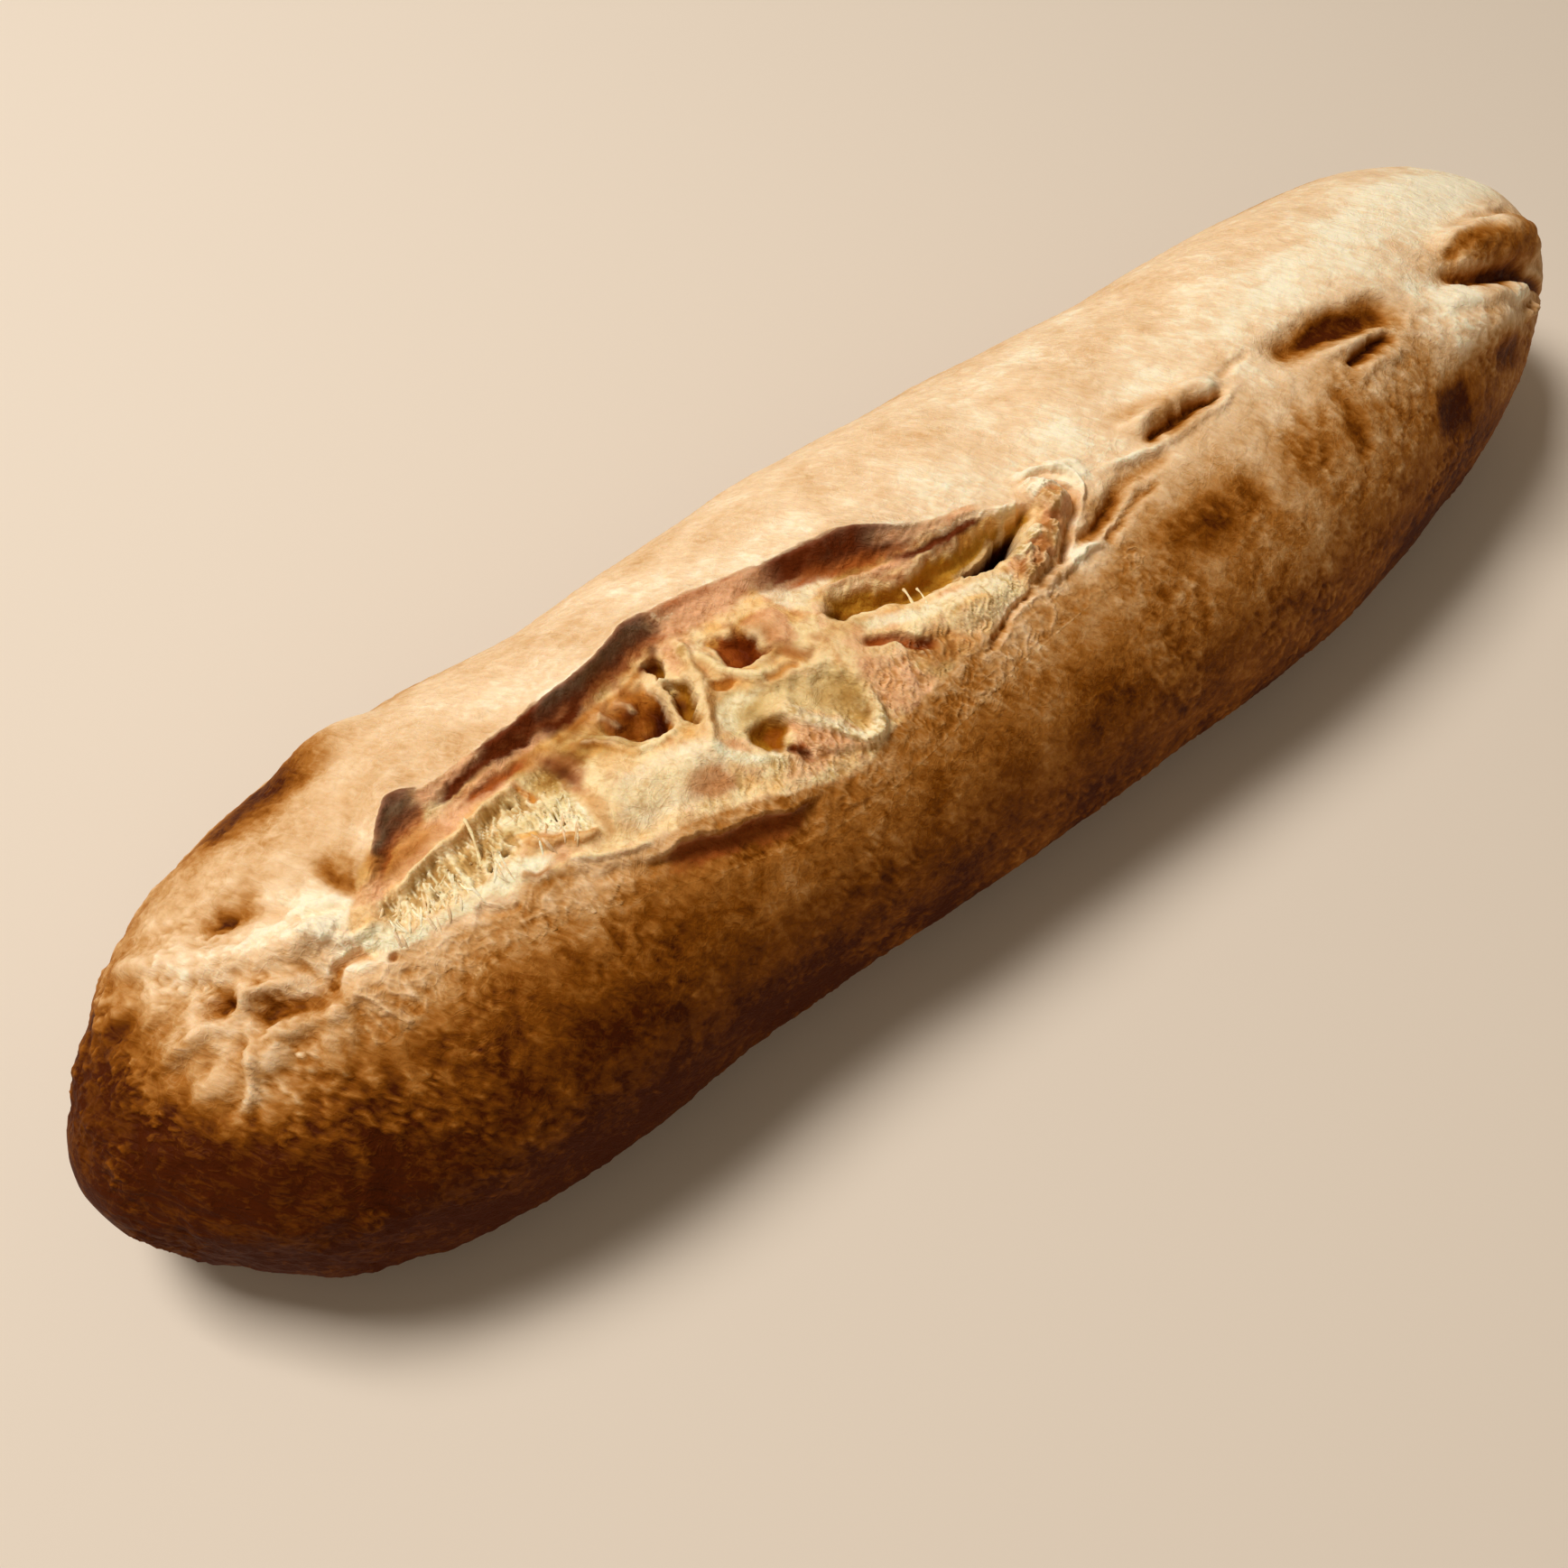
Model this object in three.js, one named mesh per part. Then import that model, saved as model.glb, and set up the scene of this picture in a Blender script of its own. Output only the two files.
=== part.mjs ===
// A hand-shaped torpedo loaf whose top seam burst open in the oven, as one closed solid.
//
// Units are millimetres and +Z is up. The loaf lies along X and rests on the plane z = 0.
// Places on the crust are given as a pair: "along", the distance along X from the middle, and
// "around", the distance measured over the crust from its crest line, positive towards -Y.

import * as THREE from 'three';
import { mergeVertices } from 'three/addons/utils/BufferGeometryUtils.js';

// Driving dimensions of the plain loaf.
const LENGTH = 300;
const WAIST_HEIGHT = 21; // height of the widest line above the rest plane
const REST_SINK = 1.5; // how far the round underside is pressed flat
const ROUNDNESS = {
  nearEnd: 4.1, // exponents: the larger, the blunter
  farEnd: 6.4,
  underside: 12,
  dome: 0.95,
  belly: 0.55,
};

// Half width, sideways middle and height of the loaf, at stations along X.
const STATIONS = [
  { along: -144, halfWidth: 34.5, middle: -1.9, top: 50.3 },
  { along: -130, halfWidth: 40.5, middle: -1.4, top: 49.5 },
  { along: -95, halfWidth: 40.5, middle: -1.5, top: 51.0 },
  { along: -60, halfWidth: 37.2, middle: -1.2, top: 51.0 },
  { along: -20, halfWidth: 38.7, middle: 0.0, top: 52.2 },
  { along: 20, halfWidth: 38.5, middle: -0.1, top: 52.2 },
  { along: 60, halfWidth: 37.2, middle: -1.1, top: 52.0 },
  { along: 95, halfWidth: 33.8, middle: 1.6, top: 53.0 },
  { along: 130, halfWidth: 31.4, middle: 4.8, top: 52.5 },
  { along: 144, halfWidth: 27.4, middle: 2.8, top: 55.0 },
];

// Two lines over the crust from tip to tip, as [along, around] points. Between the burst's ends
// they are its lips, and past them they run on either side of the closed seam.
const UPPER_LINE = [
  [-150, -4], [-125, -3], [-104, 1], [-98, -5], [-91, -9], [-80, -8], [-65, -9.5], [-48, -13.5],
  [-31, -10], [-15, -6.5], [-4, 0.5], [8, 4.5], [17, 6], [30, 5], [45, 1], [62, 2.5], [78, 3],
  [92, 7], [106, 8], [120, 6], [134, 5], [150, 4],
];
const LOWER_LINE = [
  [-150, 6], [-125, 7], [-104, 8], [-92, 12.5], [-80, 14.5], [-70, 18], [-57, 21.5], [-46, 25],
  [-36, 27], [-25, 24.5], [-12, 21], [2, 19], [17, 14], [24, 11.5], [35, 9.5], [48, 8], [62, 7],
  [80, 9.5], [92, 12], [98, 12], [106, 15], [114, 18.5], [122, 22], [130, 24], [140, 25], [150, 26],
];

// The burst between the lips, the dark ear along its upper lip and the flap on its lower one.
const BURST = { from: -104, to: 17, fade: 10, depth: 5, edge: 5 };
const EAR = { from: -102, to: 12, height: 2.2, behind: 10, before: 2.5 };
const FLAP = { from: -72, to: -40, height: 1.8, behind: 3.5, before: 7 };

// The closed seam beyond the burst, and the cleft under the far knob, both along the lower line.
const SEAM = { from: 12, to: 106, depth: 1.6, halfWidth: 4 };
const CLEFT = { from: 94, to: 150, depth: 4, halfWidth: 4.5 };

// Hollows: centre, half lengths along and around, and depth.
const HOLLOWS = [
  { along: -56, around: 1, halfLength: 6.5, halfWidth: 6, depth: 6 },
  { along: -39, around: 1, halfLength: 4.5, halfWidth: 5.5, depth: 4.5 },
  { along: -44, around: 11, halfLength: 7, halfWidth: 7, depth: 4.5 },
  { along: -32, around: 16, halfLength: 6, halfWidth: 7, depth: 4 },
  { along: -20, around: 5, halfLength: 8, halfWidth: 4, depth: 5 },
  { along: -3, around: 10, halfLength: 12, halfWidth: 4.5, depth: 6.5 },
  { along: -86, around: 6, halfLength: 16, halfWidth: 6, depth: 1.5 },
  { along: -116, around: 7, halfLength: 6, halfWidth: 4, depth: 2.5 },
  { along: -115, around: -10, halfLength: 4, halfWidth: 4, depth: 2 },
  { along: 81, around: 8, halfLength: 14, halfWidth: 5, depth: 2.5 },
];

// Swellings: the folds beside the burst and the seam, and the knob at the far tip.
const SWELLINGS = [
  { along: 15, around: 9, halfLength: 7, halfWidth: 6, height: 3 },
  { along: 44, around: 3, halfLength: 15, halfWidth: 4.5, height: 1.2 },
  { along: 124, around: 11, halfLength: 20, halfWidth: 11, height: 3.5 },
];

// Facet counts along the loaf, and around it behind, between and in front of the two lines.
const FACETS_ALONG = 112;
const FACETS_BEHIND = 15;
const FACETS_BETWEEN = 13;
const FACETS_IN_FRONT = 16;
const FACETS_AROUND = FACETS_BEHIND + FACETS_BETWEEN + FACETS_IN_FRONT;
const END_CROWDING = 1.35; // above 1, rings crowd towards the two tips
const LINE_CROWDING = 1.6; // above 1, rows crowd towards the two lines
const FULL_SIDE = 60; // where a side is shorter than this, the two lines close in with it
const ARC_STEPS = 180; // steps used to measure around one side of a section

const { clamp, lerp, smoothstep } = THREE.MathUtils;

/** Value at x of a smooth curve through [x, y] points with rising x. */
function curveThrough(points, x) {
  const last = points.length - 1;
  const slope = (i) => {
    const before = points[Math.max(i - 1, 0)];
    const after = points[Math.min(i + 1, last)];
    return (after[1] - before[1]) / (after[0] - before[0]);
  };
  let i = 0;
  while (i < last - 1 && x > points[i + 1][0]) i += 1;
  const [x0, y0] = points[i];
  const [x1, y1] = points[i + 1];
  const span = x1 - x0;
  const t = clamp((x - x0) / span, 0, 1);
  const rise = t * t * (3 - 2 * t);
  const lead = t * (1 - t) * (1 - t) * span * slope(i);
  const trail = t * t * (1 - t) * span * slope(i + 1);
  return y0 + (y1 - y0) * rise + lead - trail;
}

const stationCurve = (key) => STATIONS.map((station) => [station.along, station[key]]);
const HALF_WIDTH_CURVE = stationCurve('halfWidth');
const MIDDLE_CURVE = stationCurve('middle');
const TOP_CURVE = stationCurve('top');

/** Point on the plain loaf at a station and section angle: 0 is the crest, +90 degrees faces -Y. */
function plainPoint(along, angle) {
  const reach = Math.min(Math.abs(along) / (LENGTH / 2), 1);
  const rounding = 1 - reach ** (along < 0 ? ROUNDNESS.nearEnd : ROUNDNESS.farEnd);
  const turnUp = 1 - reach ** ROUNDNESS.underside;
  const halfWidth = curveThrough(HALF_WIDTH_CURVE, along) * Math.sqrt(rounding);
  const rise = (curveThrough(TOP_CURVE, along) - WAIST_HEIGHT) * rounding ** 0.55;
  const drop = (WAIST_HEIGHT + REST_SINK) * Math.sqrt(turnUp);
  const side = Math.sin(angle);
  const up = Math.cos(angle);
  const sideways = halfWidth * Math.sign(side) * Math.abs(side) ** ROUNDNESS.dome;
  const lift = up > 0 ? rise * up ** ROUNDNESS.dome : -drop * (-up) ** ROUNDNESS.belly;
  const middle = curveThrough(MIDDLE_CURVE, along);
  return new THREE.Vector3(along, middle - sideways, Math.max(WAIST_HEIGHT + lift, 0));
}

/** Section angles with the distance around to each, over one side (+1 front, -1 back). */
function measureAround(along, side) {
  const steps = [{ angle: 0, around: 0 }];
  let previous = plainPoint(along, 0);
  for (let i = 1; i <= ARC_STEPS; i += 1) {
    const angle = (side * Math.PI * i) / ARC_STEPS;
    const point = plainPoint(along, angle);
    steps.push({ angle, around: steps[i - 1].around + side * point.distanceTo(previous) });
    previous = point;
  }
  return steps;
}

/** Section angle at a distance around, read from both sides' steps. */
function angleAt(sides, around) {
  const steps = around < 0 ? sides.back : sides.front;
  let i = 1;
  while (i < ARC_STEPS && Math.abs(steps[i].around) < Math.abs(around)) i += 1;
  const before = steps[i - 1];
  const after = steps[i];
  const gap = after.around - before.around;
  const t = gap === 0 ? 0 : clamp((around - before.around) / gap, 0, 1);
  return lerp(before.angle, after.angle, t);
}

/** A bell that is 1 in the middle and fades to 0 at distance 1. */
function bell(distance) {
  const t = clamp(1 - distance * distance, 0, 1);
  return t * t;
}

/** Fades in and out over the stretch of the loaf that a feature with from and to covers. */
function stretch(feature, along) {
  return bell((2 * along - feature.from - feature.to) / (feature.to - feature.from)) ** 0.25;
}

/** How far the real crust stands out from the plain loaf. */
function relief(along, around, upper, lower) {
  const pastUpper = around - upper;
  const pastLower = around - lower;
  const inside = smoothstep(pastUpper, 0, BURST.edge) * (1 - smoothstep(pastLower, -BURST.edge, 0));
  const opened = smoothstep(along, BURST.from, BURST.from + BURST.fade)
    * (1 - smoothstep(along, BURST.to - BURST.fade, BURST.to));
  const earReach = pastUpper / (pastUpper < 0 ? EAR.behind : EAR.before);
  const flapReach = pastLower / (pastLower < 0 ? FLAP.behind : FLAP.before);
  let height = -BURST.depth * inside * opened;
  height += EAR.height * bell(earReach) * stretch(EAR, along);
  height += FLAP.height * bell(flapReach) * stretch(FLAP, along);
  for (const groove of [SEAM, CLEFT]) {
    height -= groove.depth * bell(pastLower / groove.halfWidth) * stretch(groove, along);
  }
  const nearness = (place) => {
    const lengthwise = (along - place.along) / place.halfLength;
    return bell(Math.hypot(lengthwise, (around - place.around) / place.halfWidth));
  };
  for (const hollow of HOLLOWS) height -= hollow.depth * nearness(hollow);
  for (const swelling of SWELLINGS) height += swelling.height * nearness(swelling);
  return height;
}

/** Direction out of the plain loaf at a station and section angle. */
function outward(along, angle) {
  const step = 0.01;
  const inner = clamp(along, step - LENGTH / 2, LENGTH / 2 - step);
  const lengthwise = plainPoint(inner + step, angle).sub(plainPoint(inner - step, angle));
  const crosswise = plainPoint(inner, angle + step).sub(plainPoint(inner, angle - step));
  return crosswise.cross(lengthwise).normalize();
}

/** Distances around of a ring's vertices, from under the back, over the crest, to under the front. */
function ringRows(sides, upper, lower) {
  const backEnd = sides.back[ARC_STEPS].around;
  const frontEnd = sides.front[ARC_STEPS].around;
  const rows = [];
  for (let i = 0; i < FACETS_BEHIND; i += 1) {
    const share = (1 - i / FACETS_BEHIND) ** LINE_CROWDING;
    rows.push(lerp(upper, backEnd, share));
  }
  for (let i = 0; i < FACETS_BETWEEN; i += 1) {
    rows.push(lerp(upper, lower, i / FACETS_BETWEEN));
  }
  for (let i = 0; i <= FACETS_IN_FRONT; i += 1) {
    const share = (i / FACETS_IN_FRONT) ** LINE_CROWDING;
    rows.push(lerp(lower, frontEnd, share));
  }
  return rows;
}

/** Moves one ring of the sphere's vertices onto the crust. */
function placeRing(position, ring) {
  const t = (2 * ring) / FACETS_ALONG - 1;
  const along = (Math.sign(t) * (1 - (1 - Math.abs(t)) ** END_CROWDING) * LENGTH) / 2;
  const sides = { front: measureAround(along, 1), back: measureAround(along, -1) };
  const closing = Math.min(sides.front[ARC_STEPS].around / FULL_SIDE, 1);
  const upper = curveThrough(UPPER_LINE, along) * closing;
  const lower = curveThrough(LOWER_LINE, along) * closing;
  const isTip = ring === 0 || ring === FACETS_ALONG;
  ringRows(sides, upper, lower).forEach((around, row) => {
    const angle = angleAt(sides, around);
    const point = plainPoint(along, angle);
    if (!isTip && point.z > 0) {
      point.addScaledVector(outward(along, angle), closing * relief(along, around, upper, lower));
    }
    const column = FACETS_AROUND - row; // the sphere's columns run the other way round
    position.setXYZ(ring * (FACETS_AROUND + 1) + column, point.x, point.y, point.z);
  });
}

/** The whole loaf, standing on the origin: a sphere's facets, drawn out onto the crust. */
function loafGeometry() {
  const sphere = new THREE.SphereGeometry(1, FACETS_AROUND, FACETS_ALONG);
  for (let ring = 0; ring <= FACETS_ALONG; ring += 1) {
    placeRing(sphere.attributes.position, ring);
  }
  sphere.deleteAttribute('normal');
  sphere.deleteAttribute('uv');
  const closed = mergeVertices(sphere, 1e-3);
  closed.computeBoundingBox();
  const middle = closed.boundingBox.getCenter(new THREE.Vector3());
  closed.translate(-middle.x, -middle.y, -closed.boundingBox.min.z);
  closed.computeVertexNormals();
  return closed;
}

const crust = new THREE.MeshStandardMaterial({ color: 0xb97a45, roughness: 0.75, metalness: 0 });
const loaf = new THREE.Mesh(loafGeometry(), crust);
loaf.name = 'loaf';

const bread = new THREE.Group();
bread.add(loaf);

export default bread;
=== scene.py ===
"""A whole garlic bread loaf with a burst top seam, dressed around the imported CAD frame.

Lengths are in millimetres until a mesh is made. A place on the crust is a pair, as in the CAD part:
"along" is X from the loaf's middle, and "around" is measured over the crust from its crest line,
positive towards -Y, the front. Heights are measured out from the plain loaf.
"""

import itertools
import math

import bpy
import numpy as np
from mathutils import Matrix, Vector


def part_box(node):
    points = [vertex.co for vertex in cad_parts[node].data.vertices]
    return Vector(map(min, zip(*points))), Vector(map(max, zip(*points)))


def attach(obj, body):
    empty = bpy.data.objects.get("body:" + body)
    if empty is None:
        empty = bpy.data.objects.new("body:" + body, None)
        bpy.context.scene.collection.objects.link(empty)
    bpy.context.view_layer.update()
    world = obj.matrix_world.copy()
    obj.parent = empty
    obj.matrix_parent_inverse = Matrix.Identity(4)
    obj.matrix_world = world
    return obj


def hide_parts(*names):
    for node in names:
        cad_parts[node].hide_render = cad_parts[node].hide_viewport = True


MM = 0.001

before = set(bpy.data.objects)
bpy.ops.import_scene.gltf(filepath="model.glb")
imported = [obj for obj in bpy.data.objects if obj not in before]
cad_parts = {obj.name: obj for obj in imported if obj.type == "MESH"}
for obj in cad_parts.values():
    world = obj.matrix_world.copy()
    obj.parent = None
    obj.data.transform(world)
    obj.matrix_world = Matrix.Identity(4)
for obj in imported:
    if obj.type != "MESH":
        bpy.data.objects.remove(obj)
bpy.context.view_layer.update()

# ---------------------------------------------------------------------------------------------
# The plain loaf, with the same driving sizes as the CAD part
# ---------------------------------------------------------------------------------------------

LOW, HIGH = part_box("loaf")
LENGTH = (HIGH.x - LOW.x) / MM
WAIST_HEIGHT = 21.0  # height of the widest line above the rest plane
REST_SINK = 1.5  # how far the round underside is pressed flat
NEAR_BLUNTNESS = 4.1
FAR_BLUNTNESS = 6.4
UNDERSIDE_BLUNTNESS = 12.0
DOME = 0.95
BELLY = 0.55
TIP_RISE = 0.55  # how roundly the top runs down into the tips

# Half width, sideways middle and height of the loaf, at stations along X.
HALF_WIDTH = [(-144, 34.5), (-130, 40.5), (-95, 40.5), (-60, 37.2), (-20, 38.7), (20, 38.5), (60, 37.2),
              (95, 33.8), (130, 31.4), (144, 27.4)]
MIDDLE = [(-144, -1.9), (-130, -1.4), (-95, -1.5), (-60, -1.2), (-20, 0.0), (20, -0.1), (60, -1.1),
          (95, 1.6), (130, 4.8), (144, 2.8)]
TOP = [(-144, 50.3), (-130, 49.5), (-95, 51.0), (-60, 51.0), (-20, 52.2), (20, 52.2), (60, 52.0),
       (95, 53.0), (130, 52.5), (144, 55.0)]


def curve_through(points, x):
    """Values at x of a smooth curve through (x, y) points with rising x, level beyond its ends."""
    xs, ys = np.array(points, float).T
    last = len(xs) - 1
    before = np.maximum(np.arange(last + 1) - 1, 0)
    after = np.minimum(np.arange(last + 1) + 1, last)
    slopes = (ys[after] - ys[before]) / (xs[after] - xs[before])
    i = np.clip(np.searchsorted(xs, x) - 1, 0, last - 1)
    span = xs[i + 1] - xs[i]
    t = np.clip((x - xs[i]) / span, 0, 1)
    rise = t * t * (3 - 2 * t)
    lead = t * (1 - t) ** 2 * span * slopes[i]
    trail = t * t * (1 - t) * span * slopes[i + 1]
    return ys[i] + (ys[i + 1] - ys[i]) * rise + lead - trail


def plain_point(along, angle):
    """Points on the plain loaf at stations and section angles: 0 is the crest, +90 degrees faces -Y."""
    reach = np.clip(np.abs(along) / (LENGTH / 2), 0, 1)
    rounding = 1 - reach ** np.where(along < 0, NEAR_BLUNTNESS, FAR_BLUNTNESS)
    half_width = curve_through(HALF_WIDTH, along) * np.sqrt(rounding)
    rise = (curve_through(TOP, along) - WAIST_HEIGHT) * rounding**TIP_RISE
    drop = (WAIST_HEIGHT + REST_SINK) * np.sqrt(1 - reach**UNDERSIDE_BLUNTNESS)
    side = np.sin(angle)
    up = np.cos(angle)
    sideways = half_width * np.sign(side) * np.abs(side) ** DOME
    lift = np.where(up > 0, rise * np.abs(up) ** DOME, -drop * np.abs(up) ** BELLY)
    y = curve_through(MIDDLE, along) - sideways
    z = np.maximum(WAIST_HEIGHT + lift, 0)
    return np.stack(np.broadcast_arrays(along, y, z), -1).astype(float)


ARC_STEPS = 360  # steps used to measure around one side of a section
ARC_ANGLES = np.linspace(-math.pi, math.pi, 2 * ARC_STEPS + 1)
SMALL_STEP = 0.01  # millimetres or radians between the points that a direction is taken from


def measure_around(along):
    """Distance around at each of ARC_ANGLES, on the section at one station."""
    ring = plain_point(np.float64(along), ARC_ANGLES)
    arcs = np.concatenate([[0], np.cumsum(np.linalg.norm(np.diff(ring, axis=0), axis=1))])
    return arcs - arcs[ARC_STEPS]


def unit(vectors):
    return vectors / np.maximum(np.linalg.norm(vectors, axis=-1, keepdims=True), 1e-9)


def loaf_frame(along, angle):
    """Points on the plain loaf, with the directions out of it."""
    inner = np.clip(along, SMALL_STEP - LENGTH / 2, LENGTH / 2 - SMALL_STEP)
    lengthwise = plain_point(inner + SMALL_STEP, angle) - plain_point(inner - SMALL_STEP, angle)
    crosswise = plain_point(inner, angle + SMALL_STEP) - plain_point(inner, angle - SMALL_STEP)
    return plain_point(along, angle), unit(np.cross(crosswise, lengthwise))


# ---------------------------------------------------------------------------------------------
# Noise, lines and outlines
# ---------------------------------------------------------------------------------------------


def smoothstep(low, high, x):
    t = np.clip((x - low) / (high - low), 0, 1)
    return t * t * (3 - 2 * t)


def bell(distance):
    """1 in the middle, fading to 0 at distance 1."""
    return np.clip(1 - distance * distance, 0, 1) ** 2


# Large whole numbers that scramble a lattice cell and a seed into one random number.
CELL_MIX = np.array([374761393, 668265263, 1274126177])
SEED_MIX = 144269504
BIT_MIX = ((13, 1103515245), (15, 1540483477))
WORD = 0xFFFFFFFF


def lattice(cell, seed):
    """A repeatable random number from 0 to 1 for each lattice cell."""
    n = (cell @ CELL_MIX + seed * SEED_MIX) & WORD
    for shift, factor in BIT_MIX:
        n = ((n ^ (n >> shift)) * factor) & WORD
    return (n ^ (n >> 16)) / WORD


def corner_numbers(cell, seed):
    """Three repeatable random numbers for each lattice cell."""
    return np.stack([lattice(cell, seed + 71 * k) for k in (1, 2, 3)], -1)


def noise(points, size, seed):
    """Smooth noise around 0, within about -1 to 1, with features of about this size."""
    scaled = points / size
    cell = np.floor(scaled).astype(np.int64)
    part = scaled - cell
    ease = part**3 * (part * (part * 6 - 15) + 10)
    total = np.zeros(len(points))
    for corner in itertools.product((0, 1), repeat=3):
        offset = np.array(corner)
        slope = corner_numbers(cell + offset, seed) * 2 - 1
        weight = np.prod(np.where(offset == 1, ease, 1 - ease), axis=-1)
        total += weight * ((part - offset) * slope).sum(-1)
    return 1.7 * total


def fractal(points, size, seed, octaves=3):
    """Noise with finer noise added, each octave half the size and half the strength."""
    return sum(noise(points, size / 2**k, seed + 5 * k) / 2**k for k in range(octaves))


def centre_distance(points, size, seed):
    """Distance to the nearest of scattered centres, in units of size."""
    scaled = points / size
    cell = np.floor(scaled).astype(np.int64)
    nearest = np.full(len(points), np.inf)
    for offset in itertools.product((-1, 0, 1), repeat=3):
        beside = cell + np.array(offset)
        centre = beside + corner_numbers(beside, seed)
        nearest = np.minimum(nearest, np.linalg.norm(scaled - centre, axis=-1))
    return nearest


def ridged(waves, sharpness):
    """Ridges where the waves cross 0: 1 on their tops, down to 0 between."""
    return (1 - np.clip(np.abs(waves) * sharpness, 0, 1)) ** 1.5


ROUNDING_STEPS = 5  # points that a smooth line gets for each given one


def rounded(points, closed=False):
    """A smooth line through given points, as a denser list of points."""
    knots = np.array(points, float)
    if closed:
        knots = np.concatenate([knots[-1:], knots, knots[:2]])
    else:
        knots = np.concatenate([2 * knots[:1] - knots[1:2], knots, 2 * knots[-1:] - knots[-2:-1]])
    share = np.arange(ROUNDING_STEPS)[:, None] / ROUNDING_STEPS
    pieces = []
    for a, b, c, d in zip(knots, knots[1:], knots[2:], knots[3:]):
        bend = (2 * a - 5 * b + 4 * c - d) * share + (3 * (b - c) + d - a) * share**2
        pieces.append(b + share * (c - a + bend) / 2)
    line = np.concatenate(pieces)
    return line if closed else np.concatenate([line, knots[-2:-1]])


def line_distance(places, line):
    """Distance from (n, 2) places to a line of points, and the share of its length passed there."""
    starts, ends = line[:-1], line[1:]
    lengths = np.linalg.norm(ends - starts, axis=1)
    passed = np.concatenate([[0], np.cumsum(lengths)])
    best = np.full(len(places), np.inf)
    share = np.zeros(len(places))
    for i, (start, end, length) in enumerate(zip(starts, ends, lengths)):
        t = np.clip((places - start) @ (end - start) / max(length, 1e-9) ** 2, 0, 1)
        distance = np.linalg.norm(places - start - t[:, None] * (end - start), axis=1)
        closer = distance < best
        best[closer] = distance[closer]
        share[closer] = (passed[i] + t[closer] * length) / passed[-1]
    return best, share


def inside_distance(places, outline):
    """Distance in from a closed outline: positive inside it, negative outside."""
    ring = np.concatenate([outline, outline[:1]])
    distance, _ = line_distance(places, ring)
    inside = np.zeros(len(places), bool)
    x, y = places.T
    for (x0, y0), (x1, y1) in zip(ring[:-1], ring[1:]):
        if y0 != y1:
            crosses = (y0 > y) != (y1 > y)
            inside ^= crosses & (x < x0 + (y - y0) * (x1 - x0) / (y1 - y0))
    return np.where(inside, distance, -distance)


# ---------------------------------------------------------------------------------------------
# The skin: closed rings of places over the loaf, with their relief and their colours
# ---------------------------------------------------------------------------------------------

# The burst's upper lip, where the ear stands, and the front edge of the finely meshed patch.
EAR_LINE = [(-150, -4), (-125, -3), (-108, -2), (-103, 0), (-99, -1.5), (-96, -4.3), (-93, -7),
            (-90.5, -8.6), (-87, -8.1), (-82, -7.6), (-76, -8), (-70, -8.2), (-65, -8.8), (-60, -9.2),
            (-55, -10), (-51, -11.4), (-48.5, -11.9), (-45, -11.4), (-40, -10.9), (-35, -9.6), (-30, -8),
            (-25, -6.4), (-22, -5.4), (-19, -4.5), (-16, -4.2), (-13.4, -2.8), (-11, -1.6), (-8, -0.2),
            (-5, 0.8), (-1, 2.2), (3, 3.4), (7, 4.9), (11, 5.6), (15, 6), (20, 6), (30, 5), (45, 2),
            (62, 2.5), (78, 3), (92, 6), (106, 8), (120, 8), (134, 7), (150, 6)]
PATCH_FRONT = [(-110, 19), (-92, 19.5), (-80, 21), (-70, 24), (-57, 28), (-46, 31), (-36, 32), (-25, 31),
               (-12, 29), (2, 27), (22, 25)]
PATCH_FROM = -110.0
PATCH_TO = 22.0
PATCH_BEHIND_EAR = 6.5
PATCH_FLOOR = 18.0  # depth of the patch's hidden underside
PATCH_RINGS = 500
PATCH_ROWS = 186
FLOOR_ROWS = 4
CRUST_RINGS = 480
CRUST_ROWS = (74, 128)  # behind the ear line, and in front of it
CRUST_CROWDING = (1.5, 1.3)  # how much closer together rows are near the ear line
FULL_SIDE = 60  # where a side is shorter than this, the lines close in with it


def crust_stations():
    """Stations of the crust's rings, without the two tips, evenly spaced along its side."""
    x = np.linspace(-LENGTH / 2, LENGTH / 2, 6001)
    waist = plain_point(x, np.full_like(x, math.pi / 2))
    travelled = np.linalg.norm(np.diff(waist, axis=0), axis=1)
    passed = np.concatenate([[0], np.cumsum(travelled)])
    return np.interp(np.linspace(0, passed[-1], CRUST_RINGS + 2), passed, x)[1:-1]


def crust_rows(along, back_end, front_end):
    """Distances around, from under the back over the crest to under the front."""
    ear = curve_through(EAR_LINE, along) * min(front_end / FULL_SIDE, 1)
    behind = (1 - np.arange(CRUST_ROWS[0]) / CRUST_ROWS[0]) ** CRUST_CROWDING[0]
    in_front = (np.arange(CRUST_ROWS[1]) / CRUST_ROWS[1]) ** CRUST_CROWDING[1]
    return np.concatenate([ear + (back_end - ear) * behind, ear + (front_end - ear) * in_front])


def patch_rows(along, _back_end, _front_end):
    """Distances around, over the top from back to front and then back under it."""
    back = curve_through(EAR_LINE, along) - PATCH_BEHIND_EAR
    front = curve_through(PATCH_FRONT, along)
    return np.concatenate([
        np.linspace(back, front, PATCH_ROWS),
        np.linspace(front, back, FLOOR_ROWS + 2)[1:-1],
    ])


def linear(red, green, blue):
    """A colour given as 0-255 display values, as the linear colour that nodes take."""
    channels = [c / 255 for c in (red, green, blue)]
    return [c / 12.92 if c <= 0.04045 else ((c + 0.055) / 1.055) ** 2.4 for c in channels] + [1]


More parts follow.
